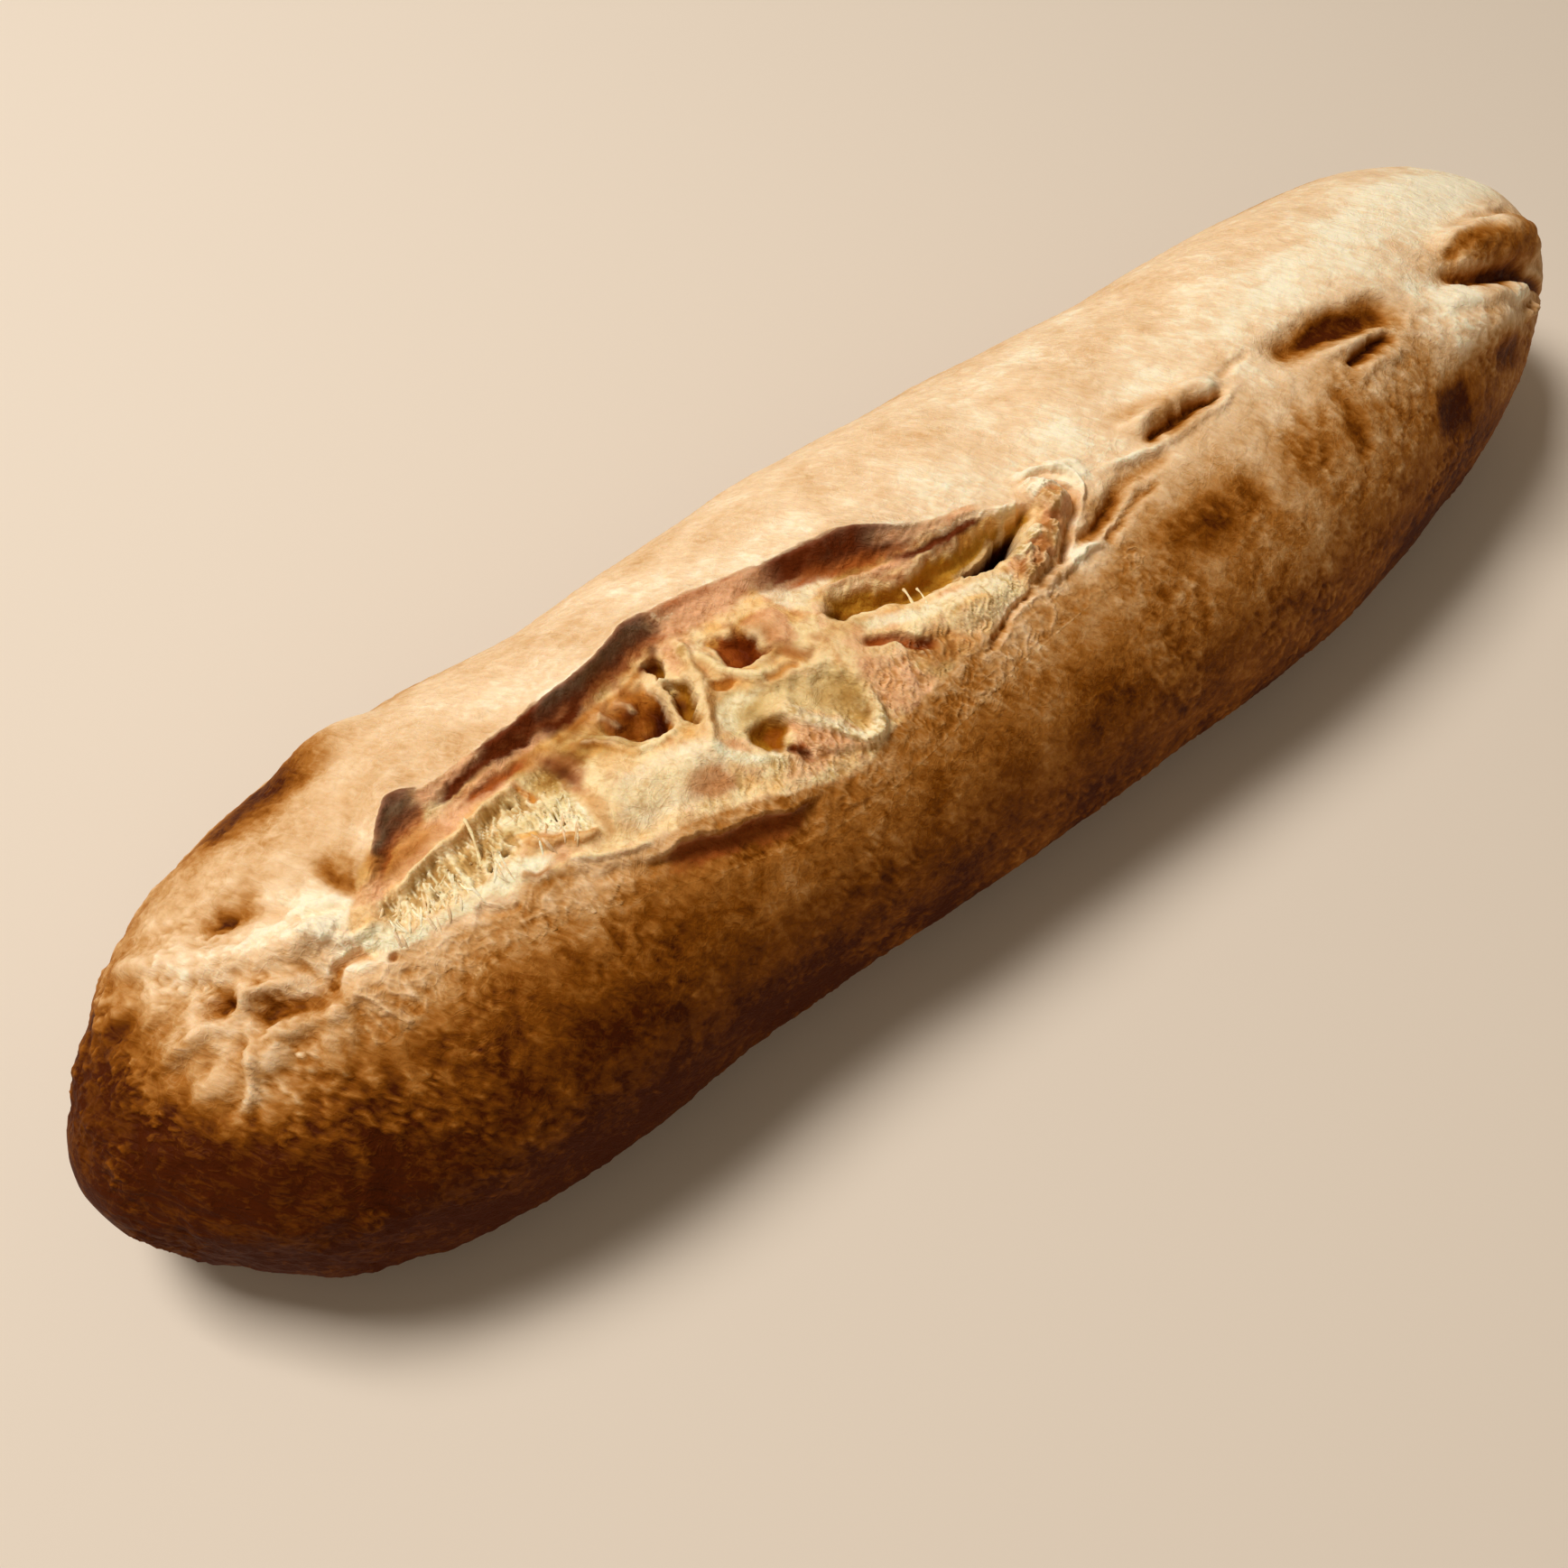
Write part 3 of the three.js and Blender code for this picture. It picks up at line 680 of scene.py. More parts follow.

# Ridges (+) and creases (-) in the burst: points, half width, height, colour, how strongly. The
# darker colours on the creases are partly painted shade.
TEARS = [
    # rolls and the web between the pockets
    ([(-66, -1.4), (-63.6, 0.6), (-61.6, 3.6), (-59.4, 6.4)], 1.3, 0.9, HONEY, 0.7),
    ([(-64.6, -2), (-62, 0.6), (-60.4, 3.4)], 0.8, 0.5, CREAM, 0.7),
    ([(-45.2, -7), (-45.6, -3), (-46.5, 0.6), (-47.5, 4), (-48.9, 7), (-50.8, 10), (-52.4, 13)], 1.5,
     1.1, BUFF, 0.8),
    ([(-47.4, -3), (-47.6, 1), (-48.6, 4.4), (-50, 7)], 0.6, 0.4, BUFF, 0.7),
    ([(-50.8, -2.6), (-50, -1.2), (-49.6, 0.2)], 0.9, 1.0, IVORY, 1.0),
    ([(-44.6, -3.4), (-43.4, 0.4), (-42.2, 3.6), (-40.2, 6.2), (-37.6, 7.8)], 1.4, 0.8, CREAM, 0.8),
    ([(-52.4, 11), (-50.4, 14.4), (-47.4, 17), (-44, 18)], 1.3, 0.2, MILK, 0.8),
    ([(-60.4, -4.4), (-59.4, -2.6), (-58.8, -0.4)], 1.6, 0.8, ROSE, 0.6),
    ([(-57.4, -5.2), (-56.2, -3.4), (-56.2, -1.4)], 1.4, 0.8, ROSE, 0.6),
    ([(-60, 5.4), (-57, 6), (-53.6, 5.6)], 1.1, 0.7, CREAM, 0.8),
    ([(-41.6, 12.8), (-40, 14), (-37.8, 16.6), (-35.6, 19.4), (-33.6, 22), (-31, 23), (-29, 21),
      (-28.2, 18)], 1.5, 0.9, IVORY, 0.8),
    ([(-42, -3.4), (-40, -3)], 1.0, 0, HONEY, 0.7),
    ([(-35.6, 4.8), (-34, 5.8), (-32.4, 7.4), (-30.8, 8.8)], 2.0, -0.5, AMBER, 0.6),
    ([(-39.4, 8), (-36.6, 8.6), (-34, 8.4)], 1.2, -0.5, GOLD, 0.7),
    # the torn layer's orange edge, its lenses and the long brown line
    ([(-80.4, 6), (-79.4, 6.8), (-78, 7.6)], 0.8, 0.5, HONEY, 1.0),
    ([(-80.6, 8), (-78.6, 8.8), (-76.4, 10.4), (-74, 11.6), (-71, 12.4)], 1.3, 0.9, GOLD, 1.0),
    ([(-83.4, 11.4), (-81.4, 12.6), (-79.2, 13.2)], 1.0, 0.4, AMBER, 0.8),
    ([(-90, 12), (-87.4, 13.2), (-84.6, 14)], 0.9, -0.5, AMBER, 0.7),
    ([(-80, 14.4), (-77, 15.8), (-73.4, 18), (-70, 19.8), (-66, 21)], 1.6, -0.5, AMBER, 0.6),
    ([(-76, 13.6), (-73, 15), (-70, 16.6), (-66, 17.6)], 1.0, 0.6, BUFF, 0.7),
    # streaks on the near part of the ear's slope, and the lip over the torn crumb
    ([(-86, -5.2), (-80, -6), (-75, -6.4), (-70, -6.6)], 0.9, -0.3, UMBER, 0.9),
    ([(-83, -3.4), (-78, -3.8), (-73, -4.2)], 0.9, -0.25, UMBER, 0.7),
    ([(-99, 3.2), (-94.4, 2.2), (-89, 1.0), (-84.4, 0), (-80, -1), (-76.4, -2)], 1.1, 0.8, BUFF, 0.8),
    ([(-75.8, -2), (-75.2, 0.6), (-75.6, 3)], 0.8, -0.3, GOLD, 1.0),
    # creases in the lower half
    ([(-25, 11.6), (-22.6, 12.8), (-20, 14), (-18, 16.6), (-15, 18.2)], 1.2, -1.3, RUST, 1.0),
    ([(-70.6, -3), (-70.2, 1), (-69.4, 5)], 1.8, -0.6, UMBER, 0.4),
    ([(-43.4, 17.6), (-42, 19), (-40.4, 20.8)], 0.8, -1.1, UMBER, 0.5),
    ([(-12, 3.2), (-8, 4.4), (-3, 4.4), (2, 5)], 0.9, -0.4, UMBER, 0.85),
    ([(-24, 0.4), (-19, 1.2), (-15, 3), (-11, 3.8), (-8, 4)], 0.8, 0.5, ROSE, 0.8),
    ([(-9, 22.4), (-5.4, 21.6), (-2, 20), (3, 19.2)], 1.0, -1.0, RUST, 0.8),
    ([(-9, 15.6), (-6, 15.4), (-4.6, 17.4)], 1.1, 0.3, HONEY, 0.8),
    ([(5.4, 6), (7.4, 6.6), (9.4, 7)], 1.2, 1.2, CREAM, 0.9),
    # the groove behind the ragged frill at the far end, and the thin fold round it
    ([(15.6, 5.4), (17.4, 8.4), (16.8, 11.6), (14.4, 13.6), (11, 15.8), (8, 18.2)], 1.2, -1.6, RUST,
     0.5),
    ([(12, 2.6), (17, 3.4), (20, 6), (19.6, 9.6), (17.6, 12.4)], 0.9, 1.0, BUFF, 0.5),
]


# Raised areas in the burst: outline, how wide their sloping edge is, height, colour, how strongly.
RAISED = [
    # the web's wide top between the pockets
    ([(-49, -9), (-45, -9.4), (-42, -6.8), (-42.6, -4), (-44.6, -2.4), (-47, -1.6), (-48.2, -4)], 1.8,
     0.6, ROSE, 0.6),
    # the peninsula in front of the film pocket
    ([(-41.6, 12.6), (-39.4, 13.6), (-37, 16), (-34.8, 19.2), (-33, 22), (-30.6, 22.2), (-29, 20),
      (-28, 21.4), (-29.6, 24.6), (-33.6, 25), (-37, 23), (-40, 20), (-40.6, 17)], 1.4, 0.8, ROSE, 0.6),
    # the frill's lumps, and the pale tips at its foot
    ([(11.6, 4), (14.4, 3.6), (16.4, 7.2), (15.8, 10.8), (13.4, 12.6), (10.8, 11.6), (11.4, 8)], 1.8,
     2.4, ROSE, 0.75),
    ([(8.4, 11), (11.4, 11.6), (13, 13.2), (10.6, 15.2), (7.8, 16), (6.4, 13.8)], 1.6, 2.2, TAN, 0.7),
    ([(3.8, 13), (6.6, 13), (8, 15.4), (6.6, 18), (3, 18.6), (2, 15.6)], 1.6, 1.9, TAN, 0.7),
    ([(2.6, 13.2), (3.2, 12), (4.6, 11.8), (5.4, 13), (5, 14.4), (3.4, 14.4)], 0.8, 1.4, IVORY, 1.0),
    ([(6.4, 12.2), (7, 11), (8.4, 10.8), (9, 12), (8, 13.2)], 0.8, 1.4, IVORY, 1.0),
]


def raise_areas(skin):
    for outline, edge, height, colour, strength in RAISED:
        raised = skin.region(outline, edge)
        crumpled = noise(skin.base, 2.2, seed=67) + 0.7 * skin.worms(1.6, seed=72) - 0.3
        skin.height += height * raised
        skin.carve(0.24 * height * raised * crumpled)
        skin.colour(strength * raised, colour)


def tear(skin):
    raise_areas(skin)
    for points, width, height, colour, strength in TEARS:
        on_line = skin.stroke(points, width)
        skin.height += height * on_line
        skin.colour(1.3 * strength * on_line, colour)


# The lower lip's flap: its edge overhangs the crust in front of it.
FLAP_LINE = [(-69, 19.4), (-65, 19.6), (-60, 19.8), (-55, 21.6), (-50, 23.4), (-46, 25.2), (-43, 26.6)]

FLAP_HEIGHT = 1.4
FLAP_EDGE = 1.0  # how far in front of its line the flap has dropped to the groove
GROOVE_DEPTH = 1.6
FLAP_BEHIND = 4  # how far behind its line the flap starts to rise
GROOVE_WIDTH = 7  # how far in front of the line the groove under the flap ends


def shape_flap(skin):
    line = rounded(FLAP_LINE)
    hit = skin.near(line, GROOVE_WIDTH + 2)
    distance, share = line_distance(skin.places[hit], line)
    front = skin.places[hit, 1] > np.interp(skin.places[hit, 0], line[:, 0], line[:, 1])
    ends = np.clip(np.minimum(share, 1 - share) / 0.22, 0, 1)
    behind = FLAP_HEIGHT * np.clip(1 - distance / FLAP_BEHIND, 0, 1) ** 1.5
    edge = FLAP_HEIGHT - (FLAP_HEIGHT + GROOVE_DEPTH) * smoothstep(0, FLAP_EDGE, distance)
    groove = -GROOVE_DEPTH * (1 - smoothstep(FLAP_EDGE, GROOVE_WIDTH, distance))
    in_front = np.where(distance < FLAP_EDGE, edge, groove)
    skin.height[hit] += ends * np.where(front, in_front, behind)
    # In front of the flap's edge the groove is painted dark as the flap's shadow.
    dark = np.zeros(len(skin.places))
    dark[hit] = ends * front * smoothstep(0.1, 0.8, distance) * (1 - smoothstep(2.0, 5.6, distance))
    skin.paint["under_flap"] = dark
    # Pink along the flap's lip: its own colour, with a painted highlight on its lit edge.
    skin.colour(0.8 * skin.stroke(FLAP_LINE, width=1.6), ROSE)


# Colours down the ear's inner face, from its rim to its foot: how far down, colour, how strongly.
# The plum at the rim is a painted sheen over the burnt crust.
FACE_COLOURS = [(0.0, PLUM_SHEEN, 0.8), (0.12, PLUM_SHEEN, 0.9), (0.28, CHAR_AND_HOLE_SHADE, 0.85), (0.54, UMBER, 0.95),
                (0.76, RUST, 0.85), (0.9, GOLD, 0.5), (1.0, GOLD, 0.0)]


# Lines of colour along the ear's face, the web's foot and the slot: points, half width, colour, how
# strongly. The gold line at the web's foot and the dark line under the slot's upper edge are painted
# shade.
RIM_LINES = [
    ([(-78, -7.1), (-74, -7.5), (-70, -7.9), (-66, -8.6)], 1.3, UMBER, 0.8),
    ([(-88, -6.3), (-83, -6.7), (-77, -7.1)], 1.3, ROSE, 0.7),
    ([(-69, -6.1), (-65, -6.3), (-60.6, -7)], 1.3, UMBER, 0.9),
    ([(-52.4, -6.6), (-50, -6.8), (-47.6, -8)], 1.2, UMBER, 0.7),
    ([(-46, -11.7), (-41, -10.6), (-36, -9.6), (-31, -8.6), (-27.6, -7.6)], 1.5, RUST, 0.6),
    # painted warm shade beside the web
    ([(-45.4, 2.2), (-47.6, 6), (-49.8, 9.6)], 0.9, GOLD, 0.6),
    ([(-31, -6.8), (-26, -5.4), (-21, -4), (-16, -2.8), (-12.6, -1)], 3.0, UMBER, 0.85),
    ([(-28, -3.6), (-23, -2.4), (-18, -0.8), (-14, 0.6)], 1.4, RUST, 0.7),
    ([(-86, -5.6), (-80, -6), (-75, -6.2), (-68, -6.8)], 1.2, UMBER, 0.9),
    ([(-83, -3), (-78, -3.6), (-72, -4.4)], 1.2, RUST, 0.8),
    ([(-87, -3.8), (-81, -4.6), (-74, -5.4), (-67, -6)], 0.7, ROSE, 0.6),
    ([(-44, -9.6), (-38, -8.6), (-31, -7.4), (-27, -5.6)], 1.6, ROSE, 0.6),
    ([(-13, -1), (-10, 0.6), (-6, 2), (0, 3.2), (5, 4.2)], 1.3, ROSE, 0.6),
    # painted shade under the slot's upper edge
    ([(-12, 3), (-7, 4.6), (-1, 5), (4, 5.6)], 0.8, UMBER, 0.9),
]


def burn(skin):
    """The ear's inner face is burnt, its rim plum brown with a painted sheen, and the shade under the
    flap painted red-brown.
    """
    fibres = skin.strands(-8, width=0.5, length=5, seed=64, wander=0.6)
    ragged = 0.55 * (fibres - 0.45) + 0.5 * fractal(skin.base, 2.4, seed=62, octaves=2)
    burnt = curve_through(BURNT, skin.along) * skin.paint["face"]
    slope = smoothstep(-89, -86, skin.along) * (1 - smoothstep(-74, -66, skin.along))
    down = np.clip(skin.paint["down"] * (1 + 1.1 * slope) + 0.16 * ragged, 0, 1)
    stops, colours, strengths = zip(*FACE_COLOURS)
    face = np.stack([np.interp(down, stops, channel) for channel in np.array(colours)[:, :3].T], -1)
    cover = smoothstep(0.1, 0.75, burnt + 0.3 * ragged) * np.interp(down, stops, strengths)
    cover = np.clip(cover, 0, 1)
    skin.tint += (face - skin.tint) * cover[:, None]
    # painted red-brown shadow in front of the flap's edge
    under = np.clip(skin.paint["under_flap"] * (1 + 0.5 * ragged), 0, 1)
    skin.colour(0.95 * under, RUST)
    skin.colour(0.25 * under ** 2, UMBER)
    skin.paint["tinted"] = np.maximum.reduce([skin.paint["burst"], 1.4 * cover, 1.1 * under])
    for points, width, colour, strength in RIM_LINES:
        on_line = skin.stroke(points, width) * (1 + 0.5 * ragged)
        skin.colour(1.2 * strength * on_line, colour)
        skin.paint["tinted"] = np.maximum(skin.paint["tinted"], 1.6 * on_line)


# Browner (+) and paler (-) spots over the burst: along, around, half length, half width, turn in
# degrees, how much. The browner spots are partly the crumb's toasting and partly painted shade,
# most of all in the pockets and by the slot's far hole.
SPOTS = [
    # the middle of the burst, and single spots in it
    (-62, 0, 14, 6, 0, 0.4), (-40, 7, 20, 10, 10, 0.1), (-44, 3, 24, 9, 0, 0.12),
    (-62, 13, 14, 4, 8, 0.1), (-53.8, 1.4, 2.4, 4, 0, 1.7), (-50, 1.8, 1.6, 3.2, 0, 0.7),
    (-50, -6, 2.2, 1.6, 0, 0.8), (-59, -2.4, 5, 2, 0, 0.6), (-55.4, -3, 2.2, 1.6, 0, 0.5),
    (-57, -1.5, 5, 2.6, 0, 0.5), (-59.6, 4, 2.6, 1.8, 0, 0.6), (-57.5, -1.5, 6, 5, 0, 0.6),
    (-38, 1.5, 4, 3.4, 0, 0.5), (-32, 15.6, 5, 5, 0, 0.35), (-24, 8, 6, 3.4, 0, 0.3),
    # near end: torn crumb and its edges
    (-94, -0.8, 8, 2.6, 0, 0.65), (-88, 4.6, 12, 3, 0, 0.4), (-99, -3, 5, 3, 0, 0.6),
    (-85, 5, 9, 2.6, 0, 0.3), (-93.6, 8.4, 8, 2.4, 0, -0.4), (-90, 11.6, 12, 2.4, 6, -0.6),
    (-79, 0, 6, 2.6, 0, 0.5), (-78, 4.8, 5, 2.2, 0, 0.4), (-79.4, 14.6, 5, 2, 12, 0.8),
    (-72.4, 14.4, 4.6, 1.8, 15, -0.6), (-72.6, -3.8, 6, 2.4, 0, 0.8), (-72, 1.2, 4, 4.4, 0, 0.9),
    (-73, 5.4, 4, 2, 0, 0.5), (-101, -6, 5, 6, 0, 0.5),
    # under the middle of the ear
    (-65, -4.6, 5, 2.6, 0, 1.0), (-67, -0.4, 7, 3.6, 0, 1.0), (-60.6, 2, 5, 2.6, 0, 0.6),
    (-58.4, -4.4, 6.4, 3, 0, 0.4), (-57, -0.6, 4.6, 3, 0, 0.8), (-56.4, 1.8, 4, 2.6, 0, 0.7),
    (-52, -6, 4.4, 2.2, 0, 0.5), (-50.8, -0.6, 3, 3, 0, 0.5), (-51, 2.4, 2.6, 3, 0, 0.6),
    (-51.4, 5.6, 4, 2, 0, 0.5), (-45.6, 0, 3, 2.4, 0, 0.5), (-65, 17.4, 5, 1.6, 5, -0.6),
    (-51.6, 20.4, 4.6, 1.8, 18, -0.7),
    # round the pockets
    (-36.6, -1.4, 4.4, 2.4, 0, 0.6), (-36.4, 1.6, 4.6, 3.0, 0, 0.8), (-36.4, 5.4, 4, 1.8, 10, 0.4),
    (-42.8, 13.6, 4, 2.8, 0, 0.6), (-44, 10.4, 3.6, 2.4, 0, 0.4), (-29.8, 17, 4, 2.6, 0, 0.5),
    (-30, 20.2, 3.6, 2, 0, 0.8), (-44.6, 23.2, 4.4, 2, 15, -0.4), (-30.6, 24, 5, 2, 0, -0.6),
    (-31, 9.6, 4, 2, 10, -0.4),
    # round the slot
    (-16.6, 0.6, 6, 2.2, 12, 1.4), (-22.4, 4, 4, 2.6, 0, 0.3), (-24, 0, 4, 1.6, 0, -0.3),
    (-16.6, 14, 6, 2, 12, -0.5), (-16.8, 17.6, 5, 2.4, 0, 0.8), (-16.8, 20.6, 5, 2.2, 0, 0.6),
    (-9.6, 15, 6, 2.4, 0, -0.6), (-8, 18, 6, 2.4, 0, -0.4), (-1.6, 17.2, 7, 2.6, 0, -0.9),
    (-4, 5, 6, 1.6, 5, 0.4), (-1, 10.6, 4, 1.8, -5, 0.8), (4, 11.2, 4.4, 2, -10, 1.4),
    (4.6, 21, 6, 2.6, 0, -0.5), (11.6, 18.2, 6, 2.8, 0, -0.8), (12, 21.4, 6, 2.4, 0, -0.3),
    (18, 12.4, 4, 2.6, 0, 0.4), (-62, 12, 10, 4, 8, -0.7), (-46, 20, 8, 2.6, 10, -0.4),
    (-4, 19.6, 8, 2.6, 0, -0.5),
]
BROWN_AND_SHADE_FACTOR = np.array([0.52, 0.38, 0.19])  # how a browner spot or painted shade multiplies the colour under it


def brown_and_shade_spots(skin):
    ragged = 1 + 0.5 * fractal(skin.base, 2.6, seed=69, octaves=2)
    for along, around, half_length, half_width, turn, amount in SPOTS:
        spot = skin.blob(along, around, half_length, half_width, turn) * ragged
        if amount > 0:
            # browning, and painted shade in the pockets
            skin.tint *= BROWN_AND_SHADE_FACTOR ** (amount * spot)[:, None]
        else:
            skin.colour(-amount * spot, CREAM)
        skin.paint["toast"] += 0.4 * amount * spot


def shade_hollows_light_tops(skin):
    """Paints shade and light from the relief. In the burst, hollows are painted golden brown as shade
    and tops pale as highlights. On the crust, fine tops are painted paler as highlights and hollows
    browner as shade.
    """
    burst = skin.paint["burst"] * (1 - 0.8 * skin.paint["face"])
    plain = burst * (1 - skin.paint["torn"])
    hollow = skin.hollows(reach=2.2)
    skin.tint *= BROWN_AND_SHADE_FACTOR ** (0.45 * plain * smoothstep(0.1, 1.4, hollow))[:, None]
    skin.colour(0.5 * burst * smoothstep(0.1, 0.8, -hollow), CREAM)
    skin.tint *= BROWN_AND_SHADE_FACTOR ** (0.7 * plain * smoothstep(0.0, -0.16, skin.fine))[:, None]
    skin.colour(0.3 * burst * smoothstep(0.08, 0.4, skin.fine), CREAM)
    skin.paint["toast"] += 0.22 * np.clip(hollow, -0.6, 1.5) - 0.55 * skin.fine


# Ridges (+) and creases (-) of the crust: points, half width and height. Creases are browned as
# painted shade.
FOLDS = [
    # the near junction: a crease from its left into the middle, one up from it and round to the pit
    ([(-119.6, 5.6), (-116, 7), (-113, 8), (-110.4, 8.8)], 1.8, -1.0),
    ([(-110.6, 9), (-109, 7.2), (-107.4, 6.2), (-105.4, 6.6), (-103, 8.4)], 1.2, -1.2),
    ([(-111.4, 2.4), (-110.6, 5.4), (-110.2, 8.4)], 0.9, -0.6),
    ([(-110.4, 8.8), (-109.6, 12), (-110.4, 17)], 1.2, -0.5),
    ([(-102.8, -9), (-102.2, -5), (-101.4, -2), (-99.6, -1.2)], 2.2, -0.8),
    ([(-118, -12), (-115.4, -10), (-112, -6.6), (-109, -4)], 2.4, -0.7),
    ([(-117, -5), (-112, -3.6), (-107, -3), (-103, -1)], 1.2, 0.7),
    ([(-108, 2), (-105, 4.6), (-101, 5.6)], 1.0, 0.7),
    ([(-132, -20), (-124, -9), (-117, -3), (-110, 0), (-104, 3), (-99, 8)], 3.0, 1.3),
    ([(-131, 1), (-124, 2.4), (-117, 3.2), (-112, 5)], 1.6, 1.0),
    ([(-120, 8), (-115, 10), (-111, 11.6), (-106, 10.4)], 1.8, 1.0),
    ([(-126, 14), (-122.6, 10), (-121, 6.4)], 1.2, 0.8),
    ([(-114, 19), (-114.6, 15), (-113.4, 11.4)], 1.2, 0.8),
    ([(-104.6, 19), (-106, 15), (-107.6, 11.4)], 1.2, 0.8),
    # grooves round the frill
    ([(13, 16), (16, 16.8), (20, 15.4), (25, 13)], 1.6, -1.2),
    ([(4, 20.4), (8, 18.6), (13, 18.4), (17, 19.6)], 1.2, 0.9),
    ([(16.6, 19.4), (20.6, 17.4), (26, 16), (31, 14.4)], 0.9, -0.8),
    ([(18, 3), (21.6, 5.6), (22, 9)], 1.3, 0.7),
    # the closed seam: the slit under its brown roll, the ridge below and the groove at its near end
    ([(34, 8), (40, 7.8), (46, 7.4), (52, 6.6)], 1.0, -1.4),
    ([(32, 5.4), (38, 5), (45, 5), (52, 5)], 2.6, 2.0),
    ([(24, 8.8), (30, 9.6), (36, 10), (42, 9.8), (48, 9.4), (54, 8)], 1.0, 0.8),
    ([(16, 17), (19, 15), (24, 12.8), (30, 11.8), (37, 11.8)], 2.0, -0.8),
    ([(52, 5.4), (57, 4.6), (61, 4)], 1.2, -0.5),
    # the valley and the slit in front of it
    ([(62, 7.2), (69, 7.4), (76, 8.4), (83, 10.6), (91, 13.2)], 5.0, -2.5),
    ([(70, 12.2), (76, 13.2), (82, 13.8), (87, 15)], 1.4, 0.8),
    ([(73.4, 15.8), (79, 15.4), (84, 16), (86.4, 17)], 1.3, -1.7),
    ([(72, 18.4), (79, 18.2), (86, 19.4)], 1.8, 0.6),
    ([(97, 16.4), (104, 18.4), (110, 20), (118, 21.8), (126, 23.4)], 3.2, 1.9),
    ([(68, 17), (68.4, 23), (67, 30)], 3.0, -0.5),
    # the cleft under the knob, and the knob's curl
    ([(102, 13.6), (107, 15), (112, 16.6), (117, 18), (122, 19.4), (128, 21), (134, 22.4), (141, 23)],
     2.4, -1.9),
    ([(106, 10.4), (112, 10.6), (119, 12), (126, 13.6), (134, 14)], 5.6, 2.2),
    ([(106, 12.4), (111, 10.6), (117, 10.6), (122, 12)], 2.2, -0.8),
    ([(113, 6.8), (120, 7.6), (128, 8.4), (137, 7)], 2.0, -0.7),
    ([(118, 15), (127, 17), (136, 15)], 2.2, 0.8),
    ([(121, 27.4), (125, 27.6), (128, 26)], 1.6, 1.6),
]

# Swellings (+), hollows (-) and pores: along, around, half length, half width, turn in degrees,
# height.
SWELLINGS = [
    (15, 9.8, 4.0, 5.0, 0, 1.2), (124, 11, 20, 8, 8, 2.2), (108, 24.4, 18, 7, 14, 3.0),
    (-33, 1.4, 4.6, 5, 0, 1.0), (-66, 8, 9, 7, 20, 0.8), (-56, 11, 8, 6, 10, 0.9),
    (-10, 15.4, 12, 3.6, 10, 1.0), (-117, 5.8, 4.2, 3.0, 10, -1.1), (-122.4, 0.8, 3.8, 3.2, 20, -2.0),
    (-122.6, 6.6, 1.8, 1.5, 0, -0.8), (-115.4, -10.8, 7, 4.4, 0, -1.4), (-131, 3, 3, 2.4, 0, -1.0),
    (-118.4, 2.4, 2.4, 3.6, 0, 1.0), (-108, 1, 4, 3, 0, 1.0), (-121, 10, 4, 3.4, 0, 1.0),
    (-128, 8, 4, 3, 0, 0.9), (-111, 13, 3, 4, 0, 0.9), (-130, -6, 4, 3, 0, 0.9),
    (-101.6, 10.4, 1.2, 0.9, 0, -1.2), (-134, -8.4, 4.5, 2.6, 0, -0.9), (-92, -30, 11, 8, 0, 2.2),
    (94, 34, 9, 9, 0, -1.2), (-110, 1, 7, 5, 30, 0.8), (45, 24, 4, 6, 0, -0.5),
    # small holes in the torn crumb
    (-78, 0.2, 0.7, 0.7, 0, -1.2), (-85.4, 8, 0.7, 0.8, 0, -1.4), (-82.8, 7.4, 0.7, 1.0, 30, -1.6),
    (-74.5, 7, 0.9, 1.2, 20, -1.8), (-93.4, 6.6, 0.8, 0.7, 0, -1.2),
]


JUNCTION = (-110, 8)  # where the folds of the near end meet
JUNCTION_REACH = (34, 26)
PORE_WIDTH = 1.3  # a swelling shorter than this is a pore, which is also tinted olive as painted shade


def fold_crust(skin):
    for points, width, height in FOLDS:
        skin.height += height * skin.stroke(points, width)
    for along, around, half_length, half_width, turn, height in SWELLINGS:
        on_spot = skin.blob(along, around, half_length, half_width, turn)
        skin.height += height * on_spot
        if half_length < PORE_WIDTH:
            # a pore's painted shade
            skin.colour(0.8 * on_spot, OLIVE_SHADE)


def shape_texture(skin):
    """Unevenness of the whole crust, from broad swells to fine wrinkles and blisters."""
    base = skin.base
    skin.height += 0.8 * noise(base, 45, seed=31) + 0.45 * noise(base, 17, seed=32)
    front = smoothstep(4, 22, skin.around)
    near_end = 1 - smoothstep(-126, -98, skin.along)
    crust = 1 - skin.paint["burst"]
    rough = crust * np.clip(0.2 + 0.5 * front + 0.8 * near_end, 0, 1)
    patchy = 0.35 + 0.65 * smoothstep(-0.3, 0.4, fractal(base, 14, seed=37))
    wrinkles = skin.worms(3.4, seed=33) + 0.7 * skin.worms(1.9, seed=38)
    skin.carve(0.26 * rough * patchy * (wrinkles - 0.5))
    skin.carve(0.3 * rough * patchy * (skin.strands(84, width=1.2, length=5, seed=39, wander=1.6) - 0.4))
    rays = skin.rays(*JUNCTION, spread=3.4, length=9, seed=74)
    from_junction = np.hypot(*(skin.places - JUNCTION).T)
    reach = skin.blob(*JUNCTION, *JUNCTION_REACH) * smoothstep(1.5, 6, from_junction)
    skin.carve(0.16 * crust * reach * (rays - 0.5))
    skin.height += 0.3 * crust * reach * (rays - 0.4)
    skin.height += 0.12 * crust * fractal(base, 1.8, seed=34, octaves=2)
    skin.height += (0.9 * near_end + 0.12) * (0.5 - centre_distance(base, size=7, seed=35))
    skin.height += 0.3 * near_end * (0.5 - centre_distance(base, size=3, seed=36))


